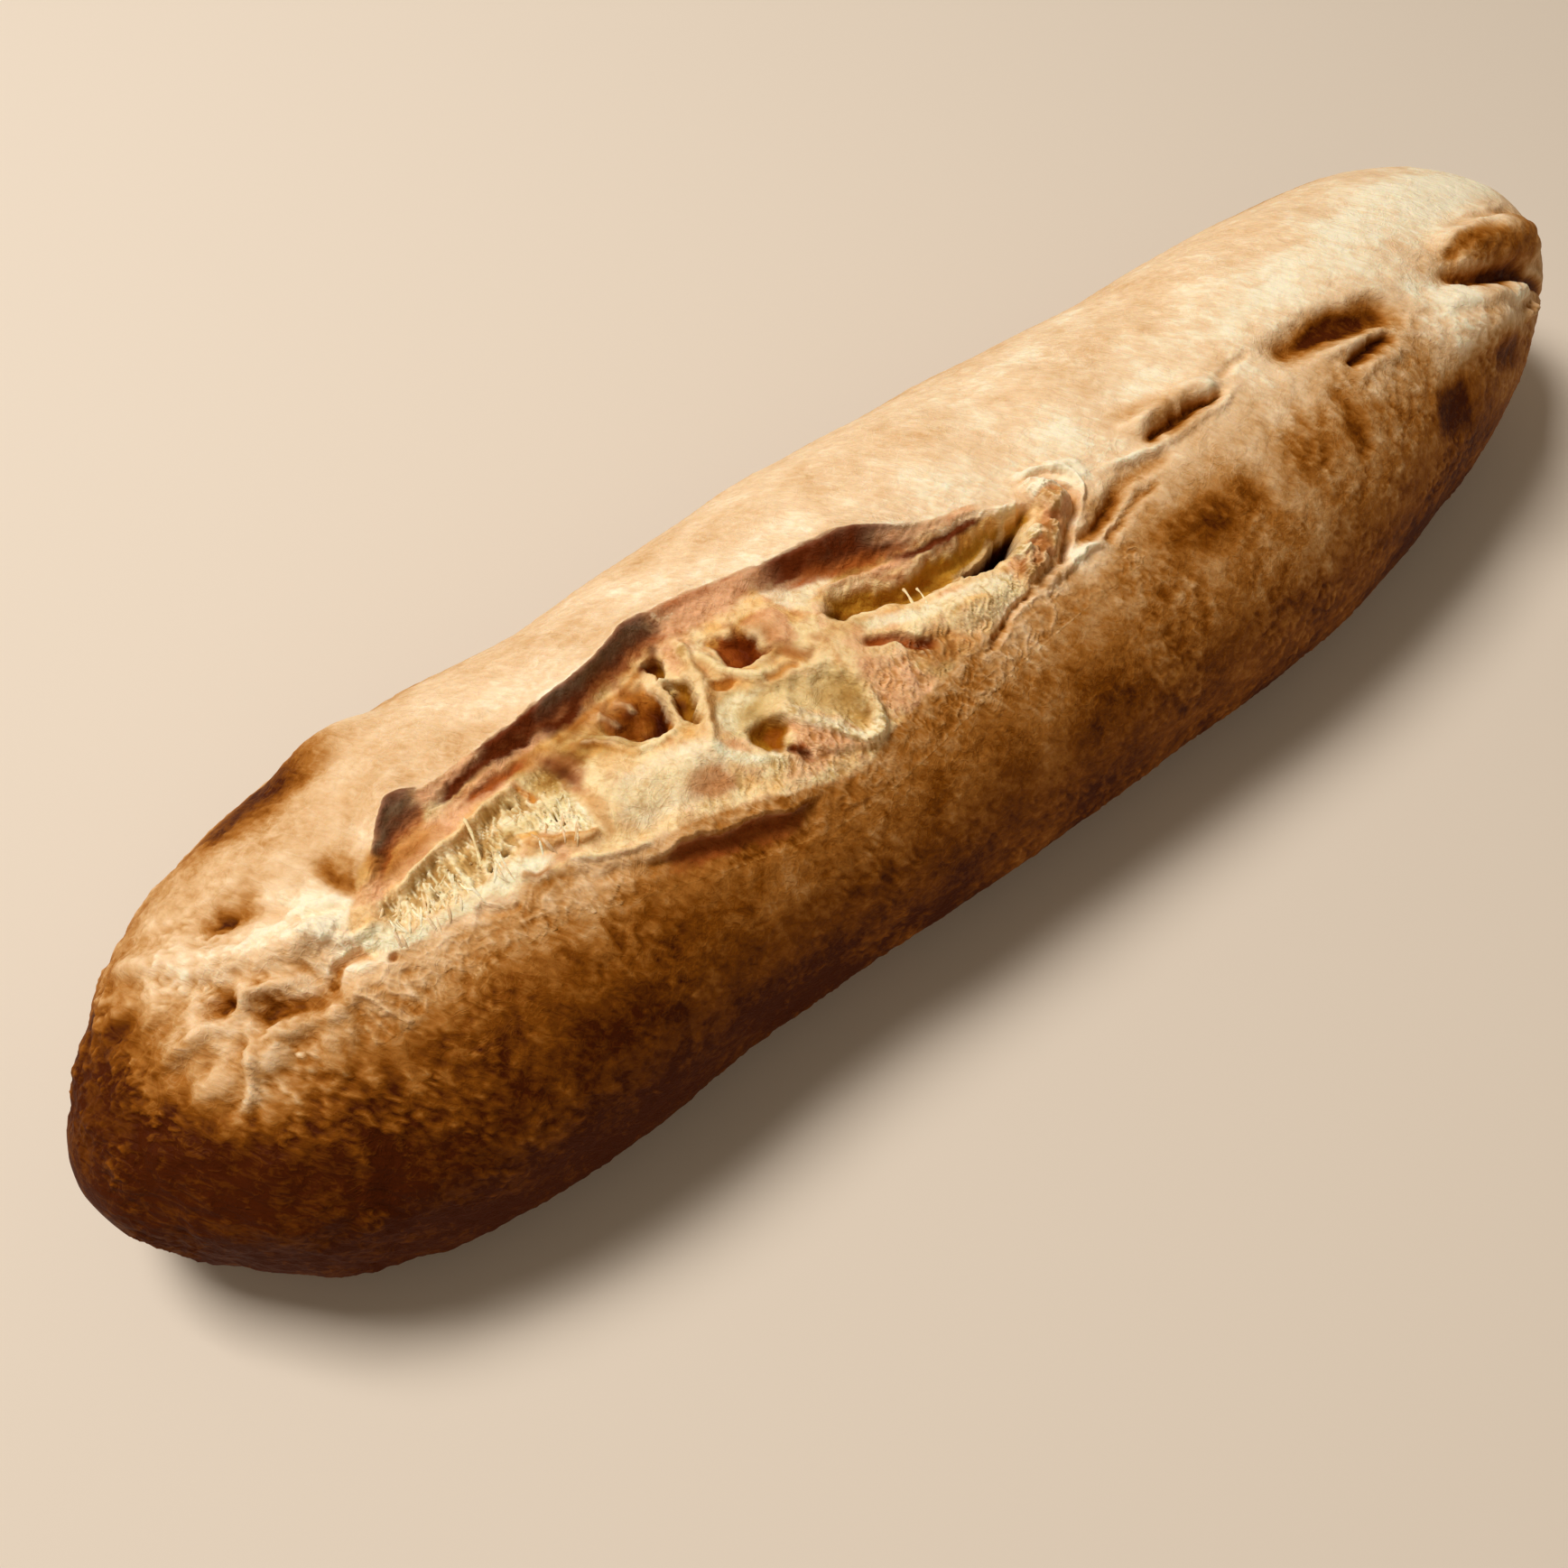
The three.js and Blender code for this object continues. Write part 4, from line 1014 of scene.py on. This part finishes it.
# ---------------------------------------------------------------------------------------------
# Browning: "toast" runs from 0, pale, to 1, dark brown
# ---------------------------------------------------------------------------------------------

# Toast around the crust, what the near end adds to it, and what the front adds along the loaf.
# Its rise down the front and underside is partly the crust's browning and partly painted shade of
# the side turned from the lamp.
TOAST_AROUND = [(-80, 0.85), (-60, 0.7), (-40, 0.34), (-28, 0.22), (-15, 0.2), (0, 0.17), (8, 0.25),
                (15, 0.37), (22, 0.52), (30, 0.64), (37, 0.71), (44, 0.8), (50, 0.88), (58, 0.95),
                (80, 0.97)]
NEAR_END_TOAST = [(-150, 0.85), (-141, 0.74), (-133, 0.45), (-126, 0.2), (-115, 0.16), (-100, 0.1),
                  (-80, 0.04), (-60, 0)]
FRONT_TOAST = [(-150, 0.3), (-122, 0.26), (-95, 0.17), (-60, 0.14), (-42, 0.05), (0, 0), (60, 0),
               (82, 0.02), (100, 0.06), (118, 0)]
UNDER_FROM = 1.7  # angle from the crest at which front and back begin to share their toast
BASE_HEIGHT = 10.0  # below this the crust is painted darker towards the floor, as the shade under the loaf
BASE_TOAST = 0.9

# Browner (+) and paler (-) patches: along, around, half length, half width, turn, toast.
# At the far end's knob the browner patches over its underside, above the cleft, are painted shade,
# and the paler ones below the cleft are painted light on slopes turned from the lamp.
PATCHES = [
    (-103, -29, 18, 9.4, 0, 0.72), (-126, -30, 12, 8, 0, 0.1), (-126, 19, 9, 6, 0, 0.08),
    (-122, 0, 5, 3.6, 0, 0.3), (-117, 5.4, 4.4, 3, 0, 0.2), (-115, -10.6, 7, 4.6, 0, 0.28),
    (-134, -8, 6, 4, 0, 0.2), (-134, 4, 8, 6, 0, -0.08), (-110, -3, 14, 6, 28, -0.3),
    (-104, 6, 8, 7, 30, -0.35), (-128, 8, 6, 4, 0, -0.12), (-76, -10, 22, 5, 0, 0.05),
    (110, -3, 60, 14, 0, -0.18), (92.4, 33.6, 9, 7, 0, 0.46), (114, 31, 8, 6, 20, 0.22),
    (68, 24, 4, 9, 0, 0.12), (41, 7.4, 11, 4.6, 0, 0.5), (38, 3.0, 10, 3, 0, 0.26),
    (56, 3, 5, 2.6, 0, 0.18), (78, 8.8, 13, 3.8, 14, 0.46), (95, 11, 7, 4, 10, -0.2),
    (96, 27, 10, 6, 0, -0.17), (114, 26, 10, 5, 10, -0.2), (104, 25, 14, 6, 12, -0.16),
    (118, 22.6, 8, 3, 14, -0.26), (80, 16, 8, 2, 5, 0.35), (114, 11.8, 10, 4, 5, 0.44),
    (123, 15.8, 13, 4.6, 8, 0.5), (130, 12, 8, 5, 0, 0.34), (99, 19, 13, 11, 0, -0.34),
    (104, 18, 9, 4, 24, -0.25), (94, 6, 16, 5, 8, -0.12), (74, 21, 16, 5, 4, -0.12),
    (35, 24, 15, 7, 0, 0.32), (57, 22.4, 10, 8, 0, 0.27), (-48, 26, 18, 5, 8, 0.14),
    (45, 39, 26, 6, 0, -0.06), (-95, 42, 18, 8, 0, -0.08), (-98, 56, 16, 8, 0, -0.06),
    (-80, -37, 18, 6, 0, 0.12), (-140, -2, 12, 22, 0, 0.26), (-134, -30, 22, 14, 0, 0.1),
    (-136, -18, 8, 10, 0, -0.05), (-146, -34, 10, 6, 0, 0.14), (-146, -13, 8, 7, 0, -0.14),
    (-124, 5, 10, 8, 0, 0.12), (-134, 12, 10, 9, 0, 0.24), (-128, 17, 8, 6, 0, 0.12),
    (-129, -4, 6, 4, 0, 0.14), (-100, -5, 6, 5, 0, 0.1), (14, 19, 9, 4, 0, -0.16),
    (118, 24, 14, 6, 10, -0.24), (45, 24, 5, 7, 0, 0.1), (59, 18, 3, 3, 0, 0.12),
    (0, 27, 16, 6, 0, -0.06), (40, 5, 40, 10, 0, -0.02), (106, -29, 22, 6, 0, 0.32),
    (-124, -25, 9, 6, 0, 0.08), (-107, -22, 9, 4, 0, 0.07), (128, 0, 14, 7, 0, -0.1),
]


def brown(skin):
    """Sets the toast amount, and starts the tint as the crust's own colour."""
    toast = curve_through(TOAST_AROUND, skin.around)
    other_side = curve_through(TOAST_AROUND, -skin.around)
    toast += 0.5 * smoothstep(UNDER_FROM, math.pi, np.abs(skin.angle)) * (other_side - toast)
    toast += curve_through(NEAR_END_TOAST, skin.along)
    toast += curve_through(FRONT_TOAST, skin.along) * smoothstep(12, 26, skin.around)
    for along, around, half_length, half_width, turn, amount in PATCHES:
        toast += amount * skin.blob(along, around, half_length, half_width, turn)
    # creases browned as painted shade
    for points, width, height in FOLDS:
        if height < 0:
            toast += min(0.5, -0.22 * height) * skin.stroke(points, width)
    # painted shade low on the loaf, towards the floor
    toast += 0.8 * (1 - smoothstep(1, BASE_HEIGHT, skin.base[:, 2])) * (BASE_TOAST - toast)
    toast += 0.1 * fractal(skin.base, 16, seed=51) + 0.06 * fractal(skin.base, 5, seed=52)
    stops, colours = zip(*CRUST_COLOURS)
    channels = np.array(colours)[:, :3].T
    skin.tint = np.stack([np.interp(toast, stops, channel) for channel in channels], -1)
    skin.paint["toast"] = toast


def shaped_skin(stations, rows_at):
    skin = Skin(stations, rows_at)
    brown(skin)
    shape_ear(skin)
    shape_bed(skin)
    lay_areas(skin, AREAS)
    cut_pockets(skin)
    tear(skin)
    shape_flap(skin)
    fold_crust(skin)
    shape_texture(skin)
    brown_and_shade_spots(skin)
    shade_hollows_light_tops(skin)
    burn(skin)
    return skin


# ---------------------------------------------------------------------------------------------
# Meshes
# ---------------------------------------------------------------------------------------------

OVERLAP = 0.6  # width of the band along its edge where the patch dips under the crust
UNDERLAY = 2.5  # how far the crust is sunk under the patch
PATCH_LIFT = 0.012  # keeps the patch just clear of the crust where both dip
TIP_REACH = 4.0  # how far from the loaf's tips its relief levels out
FLAT_BELOW = 6.0  # height over the floor below which the relief fades, as the base is flat


def add_mesh(name, vertices, faces, paint=None, tint=None):
    """A smooth-shaded mesh object from vertices in millimetres."""
    mesh = bpy.data.meshes.new(name)
    mesh.from_pydata((np.asarray(vertices) * MM).tolist(), [], [list(f) for f in faces])
    for key, values in (paint or {}).items():
        attribute = mesh.attributes.new(key, "FLOAT", "POINT")
        attribute.data.foreach_set("value", np.asarray(values, np.float32))
    if tint is not None:
        attribute = mesh.attributes.new("tint", "FLOAT_COLOR", "POINT")
        attribute.data.foreach_set("color", np.insert(tint, 3, 1, axis=1).astype(np.float32).ravel())
    mesh.polygons.foreach_set("use_smooth", [True] * len(mesh.polygons))
    mesh.update()
    obj = bpy.data.objects.new(name, mesh)
    bpy.context.scene.collection.objects.link(obj)
    return obj


def inside_patch(skin):
    """How far each place lies in from the fine patch's edge."""
    back = curve_through(EAR_LINE, skin.along) - PATCH_BEHIND_EAR
    front = curve_through(PATCH_FRONT, skin.along)
    return np.minimum.reduce([
        skin.along - PATCH_FROM, PATCH_TO - skin.along, skin.around - back, front - skin.around,
    ])


def places_in_space(skin, height):
    """Points of the skin raised by these heights, level at the tips and flat underneath."""
    held_down = smoothstep(0, FLAT_BELOW, skin.base[:, 2])
    grid = height.reshape(skin.rings, skin.rows)
    from_tip = (LENGTH / 2 - np.abs(skin.along)).reshape(grid.shape)
    middle = grid.mean(axis=1, keepdims=True)
    levelled = middle + (grid - middle) * smoothstep(0, TIP_REACH, from_tip)
    points = skin.base + skin.out * (levelled.ravel() * held_down)[:, None]
    points[:, 2] = np.maximum(points[:, 2], 0)
    return points


def grid_normals(points, rings, rows):
    """Directions out of a grid of rings, from each place's neighbours."""
    grid = points.reshape(rings, rows, 3)
    padded = np.concatenate([grid[:1], grid, grid[-1:]])
    lengthwise = padded[2:] - padded[:-2]
    crosswise = np.roll(grid, -1, axis=1) - np.roll(grid, 1, axis=1)
    return unit(np.cross(crosswise, lengthwise)).reshape(-1, 3)


def skin_mesh(name, skin, height, tips):
    """Closed mesh of the skin's rings, shaded as if neither patch nor crust dipped at their overlap."""
    vertices = np.concatenate([places_in_space(skin, height), tips])
    ring, row = np.divmod(np.arange((skin.rings - 1) * skin.rows), skin.rows)
    following = (row + 1) % skin.rows
    here = ring * skin.rows
    beyond = here + skin.rows
    faces = np.stack([here + row, here + following, beyond + following, beyond + row], -1).tolist()
    near_tip = skin.rings * skin.rows
    last = near_tip - skin.rows
    for j in range(skin.rows):
        k = (j + 1) % skin.rows
        faces.append([near_tip, k, j])
        faces.append([near_tip + 1, last + j, last + k])
    paint = {}
    for key in ("toast", "tinted"):
        values = skin.paint[key]
        paint[key] = np.clip(np.append(values, [values[0], values[-1]]), 0, 1)
    tint = np.concatenate([skin.tint, skin.tint[:1], skin.tint[-1:]])
    obj = add_mesh(name, vertices, faces, paint, tint)
    normals = grid_normals(places_in_space(skin, skin.height), skin.rings, skin.rows)
    ends = np.array([[-1.0, 0, 0], [1.0, 0, 0]])
    obj.data.normals_split_custom_set_from_vertices(np.concatenate([normals, ends]).tolist())
    return obj


def crust_mesh(skin):
    sunk = smoothstep(2 * OVERLAP, 3 * OVERLAP, inside_patch(skin))
    height = skin.height - UNDERLAY * sunk
    ends = places_in_space(skin, height).reshape(skin.rings, skin.rows, 3)[[0, -1]]
    return skin_mesh("loaf_crust", skin, height, ends.mean(1))


def patch_mesh(skin):
    under = np.tile(np.arange(skin.rows) >= PATCH_ROWS, skin.rings)
    dipped = 1 - smoothstep(0, OVERLAP, inside_patch(skin))
    height = np.where(under, -PATCH_FLOOR, skin.height + PATCH_LIFT - UNDERLAY * dipped)
    inner = places_in_space(skin, height).reshape(skin.rings, skin.rows, 3)
    return skin_mesh("burst_crumb", skin, height, inner[[0, -1]].mean(1))


# ---------------------------------------------------------------------------------------------
# Threads of crumb over the torn crumb and the slot, and fine fibres on the torn crumb
# ---------------------------------------------------------------------------------------------

TUBE_SIDES = 6
THREAD_STEPS = 14
FIBRE_STEPS = 8
FIBRE_SEED = 7

# Threads: points as (along, around, height over the plain loaf), and the radius near their ends.
# Their middle is half as thick.
THREADS = [
    # across the torn crumb
    ([(-84.2, -0.4, -0.2), (-84.6, 2.0, -0.6), (-85.4, 4.6, -1.0), (-86.2, 7.0, -1.2)], 0.36),
    # in the slot, from its middle to its front edge
    ([(-12.6, 7.0, -3.4), (-13.2, 8.8, -2.4), (-14.4, 11.8, -1.1)], 0.312),
    ([(-11.0, 8.2, -3.2), (-11.6, 10.0, -2.1), (-12.6, 12.4, -0.9)], 0.24),
]

# Where fine fibres lie: from and to along and around, how many, the angle in degrees that they run
# at and how far it varies, and about how long they are.
FIBRES = [
    (-100, -82, 3, 9, 46, 102, 7, 3.6),
    (-79, -71, 4, 10, 18, 98, 7, 3.0),
]


def sampled(skin, along, around, *fields):
    """Values of the patch's fields at one place, given along and around."""
    stations = skin.along[::skin.rows]
    ring = np.interp(along, stations, np.arange(skin.rings))
    low = min(int(ring), skin.rings - 2)
    found = []
    for k in (low, low + 1):
        rows = skin.around[k * skin.rows:k * skin.rows + PATCH_ROWS]
        row = min(np.interp(around, rows, np.arange(PATCH_ROWS)), PATCH_ROWS - 1.001)
        first = k * skin.rows + int(row)
        share = row - int(row)
        found.append([field[first] * (1 - share) + field[first + 1] * share for field in fields])
    return [a * (low + 1 - ring) + b * (ring - low) for a, b in zip(*found)]


def tube(points, outs, radii):
    """A closed tube through points, pointed at both ends: vertices and faces."""
    ahead = unit(np.gradient(points, axis=0))
    side = unit(np.cross(ahead, outs))
    up = np.cross(side, ahead)
    turns = np.arange(TUBE_SIDES) * 2 * math.pi / TUBE_SIDES
    ring = np.cos(turns)[None, :, None] * side[:, None] + np.sin(turns)[None, :, None] * up[:, None]
    vertices = (points[:, None] + ring * radii[:, None, None])[1:-1].reshape(-1, 3)
    rings = len(points) - 2
    faces = []
    for j in range(TUBE_SIDES):
        k = (j + 1) % TUBE_SIDES
        for i in range(rings - 1):
            here = i * TUBE_SIDES
            faces.append([here + j, here + k, here + TUBE_SIDES + k, here + TUBE_SIDES + j])
        last = (rings - 1) * TUBE_SIDES
        faces.append([rings * TUBE_SIDES, k, j])
        faces.append([rings * TUBE_SIDES + 1, last + j, last + k])
    return np.concatenate([vertices, points[:1], points[-1:]]), faces


class Tubes:
    """Many tubes joined into one mesh, each with its own paint."""

    def __init__(self):
        self.vertices, self.faces, self.tint = [], [], []
        self.paint = {"toast": [], "tinted": []}
        self.count = 0

    def add(self, points, outs, radii, toast, tinted, tint):
        vertices, faces = tube(points, outs, radii)
        self.vertices.append(vertices)
        self.faces += [[self.count + v for v in face] for face in faces]
        self.count += len(vertices)
        self.tint.append(np.tile(tint, (len(vertices), 1)))
        self.paint["toast"] += [toast] * len(vertices)
        self.paint["tinted"] += [tinted] * len(vertices)

    def made(self, name):
        vertices = np.concatenate(self.vertices)
        return add_mesh(name, vertices, self.faces, self.paint, np.concatenate(self.tint))


def thread_mesh():
    tubes = Tubes()
    for knots, radius in THREADS:
        path = smooth_path(knots, THREAD_STEPS)
        along, around, lift = path.T
        angle = [np.interp(s, measure_around(x), ARC_ANGLES) for x, s in zip(along, around)]
        base, out = loaf_frame(along, np.array(angle))
        share = np.linspace(0, 1, len(path))
        wobble = 1 + 0.25 * noise(base, 1.2, seed=81)
        radii = radius * (0.5 + 0.5 * np.abs(2 * share - 1)) * wobble
        tubes.add(base + out * lift[:, None], out, radii, 0.1, 1.0, CREAM[:3])
    return tubes.made("crumb_threads")


def smooth_path(knots, steps):
    """A smooth path of this many points through a few knots."""
    knots = np.array(knots, float)
    at = np.linspace(0, len(knots) - 1, steps)
    return np.stack([curve_through(list(enumerate(column)), at) for column in knots.T], -1)


def fibre_mesh(skin):
    """Curved fibres on the skin, each a little paler than what it lies on."""
    spots = places_in_space(skin, skin.height)
    fields = (skin.tint, skin.paint["toast"], skin.paint["tinted"])
    share = np.linspace(0, 1, FIBRE_STEPS)
    rng = np.random.default_rng(FIBRE_SEED)
    tubes = Tubes()
    for from_along, to_along, from_around, to_around, count, turn, spread, length in FIBRES:
        for _ in range(count):
            along = rng.uniform(from_along, to_along)
            around = rng.uniform(from_around, to_around)
            heading = math.radians(rng.normal(turn, spread))
            bend = rng.normal(0, 0.08)
            reach = length * rng.uniform(0.5, 1.4)
            radius = rng.uniform(0.16, 0.3)
            path, outs = [], []
            for _ in range(FIBRE_STEPS):
                spot, out = sampled(skin, along, around, spots, skin.out)
                path.append(spot)
                outs.append(out)
                heading += bend
                along += math.cos(heading) * reach / FIBRE_STEPS
                around += math.sin(heading) * reach / FIBRE_STEPS
            lift = 0.4 * radius * np.sin(math.pi * share) - 0.6 * radius
            points = np.array(path) + np.array(outs) * lift[:, None]
            radii = radius * (0.4 + 0.6 * np.sin(math.pi * share))
            tint, toast, tinted = sampled(skin, along, around, *fields)
            paler = tint + (np.array(IVORY[:3]) - tint) * 0.2
            tubes.add(points, np.array(outs), radii, toast - 0.1, tinted, paler)
    return tubes.made("fine_fibres")


# ---------------------------------------------------------------------------------------------
# Materials
# ---------------------------------------------------------------------------------------------


class Nodes:
    """Short ways to add and join shader nodes."""

    def __init__(self, material):
        material.use_nodes = True
        self.tree = material.node_tree
        self.tree.nodes.clear()

    def node(self, kind, inputs=(), **settings):
        made = self.tree.nodes.new(kind)
        for key, value in settings.items():
            setattr(made, key, value)
        for key, value in dict(inputs).items():
            if isinstance(value, bpy.types.NodeSocket):
                self.tree.links.new(value, made.inputs[key])
            else:
                made.inputs[key].default_value = value
        return made

    def attribute(self, name, output="Fac"):
        return self.node("ShaderNodeAttribute", attribute_name=name).outputs[output]

    def math(self, operation, a, b=0.0, c=0.0):
        return self.node("ShaderNodeMath", {0: a, 1: b, 2: c}, operation=operation).outputs[0]

    def add_off_middle(self, pattern, amount, total):
        """The total with a noise pattern added, by how far it is from its middle value."""
        return self.math("MULTIPLY_ADD", self.math("SUBTRACT", pattern, 0.5), amount, total)

    def noise(self, place, size, detail, roughness, distortion):
        """Noise from 0 to 1 with features of this size in millimetres."""
        made = self.node("ShaderNodeTexNoise", {
            "Vector": place, "Scale": 1 / (size * MM), "Detail": detail,
            "Roughness": roughness, "Distortion": distortion,
        })
        return made.outputs["Fac"]

    def drawn_out(self, place, turn, stretch):
        """The place turned about Z by an angle in degrees and squeezed along its new X."""
        turned = self.node("ShaderNodeVectorRotate", {"Vector": place, "Angle": math.radians(turn)})
        both = {0: turned.outputs[0], 1: (1 / stretch, 1, 1)}
        return self.node("ShaderNodeVectorMath", both, operation="MULTIPLY").outputs[0]

    def range(self, value, low, high, to_low=0.0, to_high=1.0):
        made = self.node("ShaderNodeMapRange", {
            "Value": value, "From Min": low, "From Max": high, "To Min": to_low, "To Max": to_high,
        })
        return made.outputs[0]

    def ramp(self, fac, stops):
        """A colour between stops of (position, colour)."""
        made = self.node("ShaderNodeValToRGB", {0: fac})
        elements = made.color_ramp.elements
        made.color_ramp.interpolation = "LINEAR"
        while len(elements) < len(stops):
            elements.new(0.5)
        for element, (position, colour) in zip(elements, stops):
            element.position = position
            element.color = colour
        return made.outputs["Color"]

    def mix(self, fac, a, b, blend="MIX"):
        made = self.tree.nodes.new("ShaderNodeMix")
        made.data_type = "RGBA"
        made.blend_type = blend
        for key, value in ((0, fac), (6, a), (7, b)):
            if isinstance(value, bpy.types.NodeSocket):
                self.tree.links.new(value, made.inputs[key])
            else:
                made.inputs[key].default_value = value
        return made.outputs[2]

    def surface(self, settings):
        """Ends the material with one shader that has these settings."""
        shader = self.node("ShaderNodeBsdfPrincipled", settings)
        output = self.node("ShaderNodeOutputMaterial")
        self.tree.links.new(shader.outputs[0], output.inputs[0])


# Noise patterns of the bread: size in millimetres, detail, roughness and distortion.
MOTTLE = (12, 3, 0.5, 0.6)
SPECKS = (4.0, 2.5, 0.5, 1.3)
GRAIN = (0.7, 3, 0.6, 0)
CURLS = (3.2, 1.5, 0.5, 2.0)
HAIRS = (0.9, 3, 0.6, 0.8)
TORN = (2.0, 4, 0.6, 1.2)
HAIR_TURN = 62  # degrees
HAIR_STRETCH = 4
# How noise darkens and lightens the colours inside the burst.
SHADES = [
    (0.28, (0.78, 0.64, 0.48, 1)),
    (0.48, (0.97, 0.94, 0.88, 1)),
    (0.7, (1.08, 1.1, 1.12, 1)),
]


def bread_material():
    """Crust coloured by the toast amount, and crumb and burnt parts coloured by the tint."""
    material = bpy.data.materials.new("baked_bread")
    n = Nodes(material)
    place = n.node("ShaderNodeTexCoord").outputs["Object"]
    patterns = (MOTTLE, SPECKS, GRAIN, CURLS)
    mottle, specks, grain, curl = [n.noise(place, *pattern) for pattern in patterns]
    off_curl = n.math("ABSOLUTE", n.math("SUBTRACT", curl, 0.5))
    curls = n.math("MULTIPLY", n.range(off_curl, 0.0, 0.07, 1.0, 0.0), n.range(mottle, 0.4, 0.6))
    hairs = n.noise(n.drawn_out(place, HAIR_TURN, HAIR_STRETCH), *HAIRS)
    hairs = n.range(hairs, 0.35, 0.65, -0.5, 0.5)
    toast = n.attribute("toast")
    for pattern, amount in ((mottle, 0.36), (specks, 0.2), (grain, 0.05)):
        toast = n.add_off_middle(pattern, amount, toast)
    for lines, amount in ((hairs, -0.09), (curls, -0.06)):
        toast = n.math("MULTIPLY_ADD", lines, amount, toast)
    crust = n.ramp(toast, CRUST_COLOURS)
    tint = n.attribute("tint", "Color")
    torn = n.noise(place, *TORN)
    shade = n.ramp(n.math("MULTIPLY_ADD", hairs, -0.06, torn), SHADES)
    crumb = n.mix(1.0, tint, shade, "MULTIPLY")
    edge = n.add_off_middle(torn, 0.9, n.attribute("tinted"))
    colour = n.mix(n.range(edge, 0.3, 0.7), crust, crumb)
    bumps = specks
    for pattern, amount in ((grain, 0.2), (hairs, 0.25), (curls, 0.15)):
        bumps = n.math("MULTIPLY_ADD", pattern, amount, bumps)
    bump = n.node("ShaderNodeBump", {"Height": bumps, "Strength": 0.6, "Distance": 0.5 * MM})
    n.surface({
        "Base Color": colour, "Roughness": 0.62, "Normal": bump.outputs[0],
        "Specular IOR Level": 0.05, "Subsurface Weight": 0.15, "Subsurface Radius": (1.0, 0.45, 0.15),
        "Subsurface Scale": 1.0 * MM,
    })
    return material


# ---------------------------------------------------------------------------------------------
# The loaf
# ---------------------------------------------------------------------------------------------


def build_loaf():
    crust_skin = shaped_skin(crust_stations(), crust_rows)
    patch_skin = shaped_skin(np.linspace(PATCH_FROM, PATCH_TO, PATCH_RINGS), patch_rows)
    crust = crust_mesh(crust_skin)
    bread = bread_material()
    for piece in (crust, patch_mesh(patch_skin), thread_mesh(), fibre_mesh(patch_skin)):
        piece.data.materials.append(bread)
        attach(piece, "root")
    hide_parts("loaf")


build_loaf()


# ---------------------------------------------------------------------------------------------
# Floor, light and camera
# ---------------------------------------------------------------------------------------------

FLOOR_SIDE_M = 3.0
FLOOR_COLOUR = linear(226, 214, 198)
CAMERA_TURN = math.radians(38)  # to the right of +Y
CAMERA_PITCH = math.radians(57)  # below level
CAMERA_TARGET_MM = (-37.8, -10.6, 25.0)
CAMERA_DISTANCE_MM = 246.9
CAMERA_LENS = 37.3
SENSOR_WIDTH = 36.0

# Soft square lights: name, place and width in metres, watts, colour.
LIGHTS = [
    ("key", (-0.29, 0.42, 1.0), 0.4, 11.15, (1.0, 0.95, 0.9)),
    ("fill", (-0.6, -0.9, 0.9), 0.9, 1.6, (1.0, 0.87, 0.72)),
]
LIGHTS_AIM_M = (0, 0, 0.02)
SURROUND_COLOUR = (1.0, 0.82, 0.61, 1)
SURROUND_STRENGTH = 0.17


def add_floor():
    half = FLOOR_SIDE_M / 2 / MM
    corners = [(-half, -half, 0), (half, -half, 0), (half, half, 0), (-half, half, 0)]
    floor = add_mesh("floor", corners, [(0, 1, 2, 3)])
    material = bpy.data.materials.new("floor")
    Nodes(material).surface({"Base Color": FLOOR_COLOUR, "Roughness": 0.8})
    floor.data.materials.append(material)


def aim(obj, target):
    obj.rotation_euler = (Vector(target) - obj.location).to_track_quat("-Z", "Y").to_euler()


def add_area_light(name, place_m, width_m, watts, colour):
    data = bpy.data.lights.new(name, "AREA")
    data.shape = "SQUARE"
    data.size = width_m
    data.energy = watts
    data.color = colour
    light = bpy.data.objects.new(name, data)
    light.location = place_m
    aim(light, LIGHTS_AIM_M)
    bpy.context.scene.collection.objects.link(light)


def add_camera():
    level = math.cos(CAMERA_PITCH)
    sideways, ahead = math.sin(CAMERA_TURN), math.cos(CAMERA_TURN)
    forward = Vector((sideways * level, ahead * level, -math.sin(CAMERA_PITCH)))
    data = bpy.data.cameras.new("camera")
    data.lens = CAMERA_LENS
    data.sensor_width = SENSOR_WIDTH
    data.clip_start = 0.01
    camera = bpy.data.objects.new("camera", data)
    target = Vector(CAMERA_TARGET_MM) * MM
    camera.location = target - forward * CAMERA_DISTANCE_MM * MM
    aim(camera, target)
    bpy.context.scene.collection.objects.link(camera)
    bpy.context.scene.camera = camera


def light_room():
    world = bpy.data.worlds.new("studio")
    world.use_nodes = True
    background = world.node_tree.nodes["Background"]
    background.inputs["Color"].default_value = SURROUND_COLOUR
    background.inputs["Strength"].default_value = SURROUND_STRENGTH
    bpy.context.scene.world = world
    bpy.context.scene.view_settings.view_transform = "Standard"
    for light in LIGHTS:
        add_area_light(*light)


add_floor()
light_room()
add_camera()
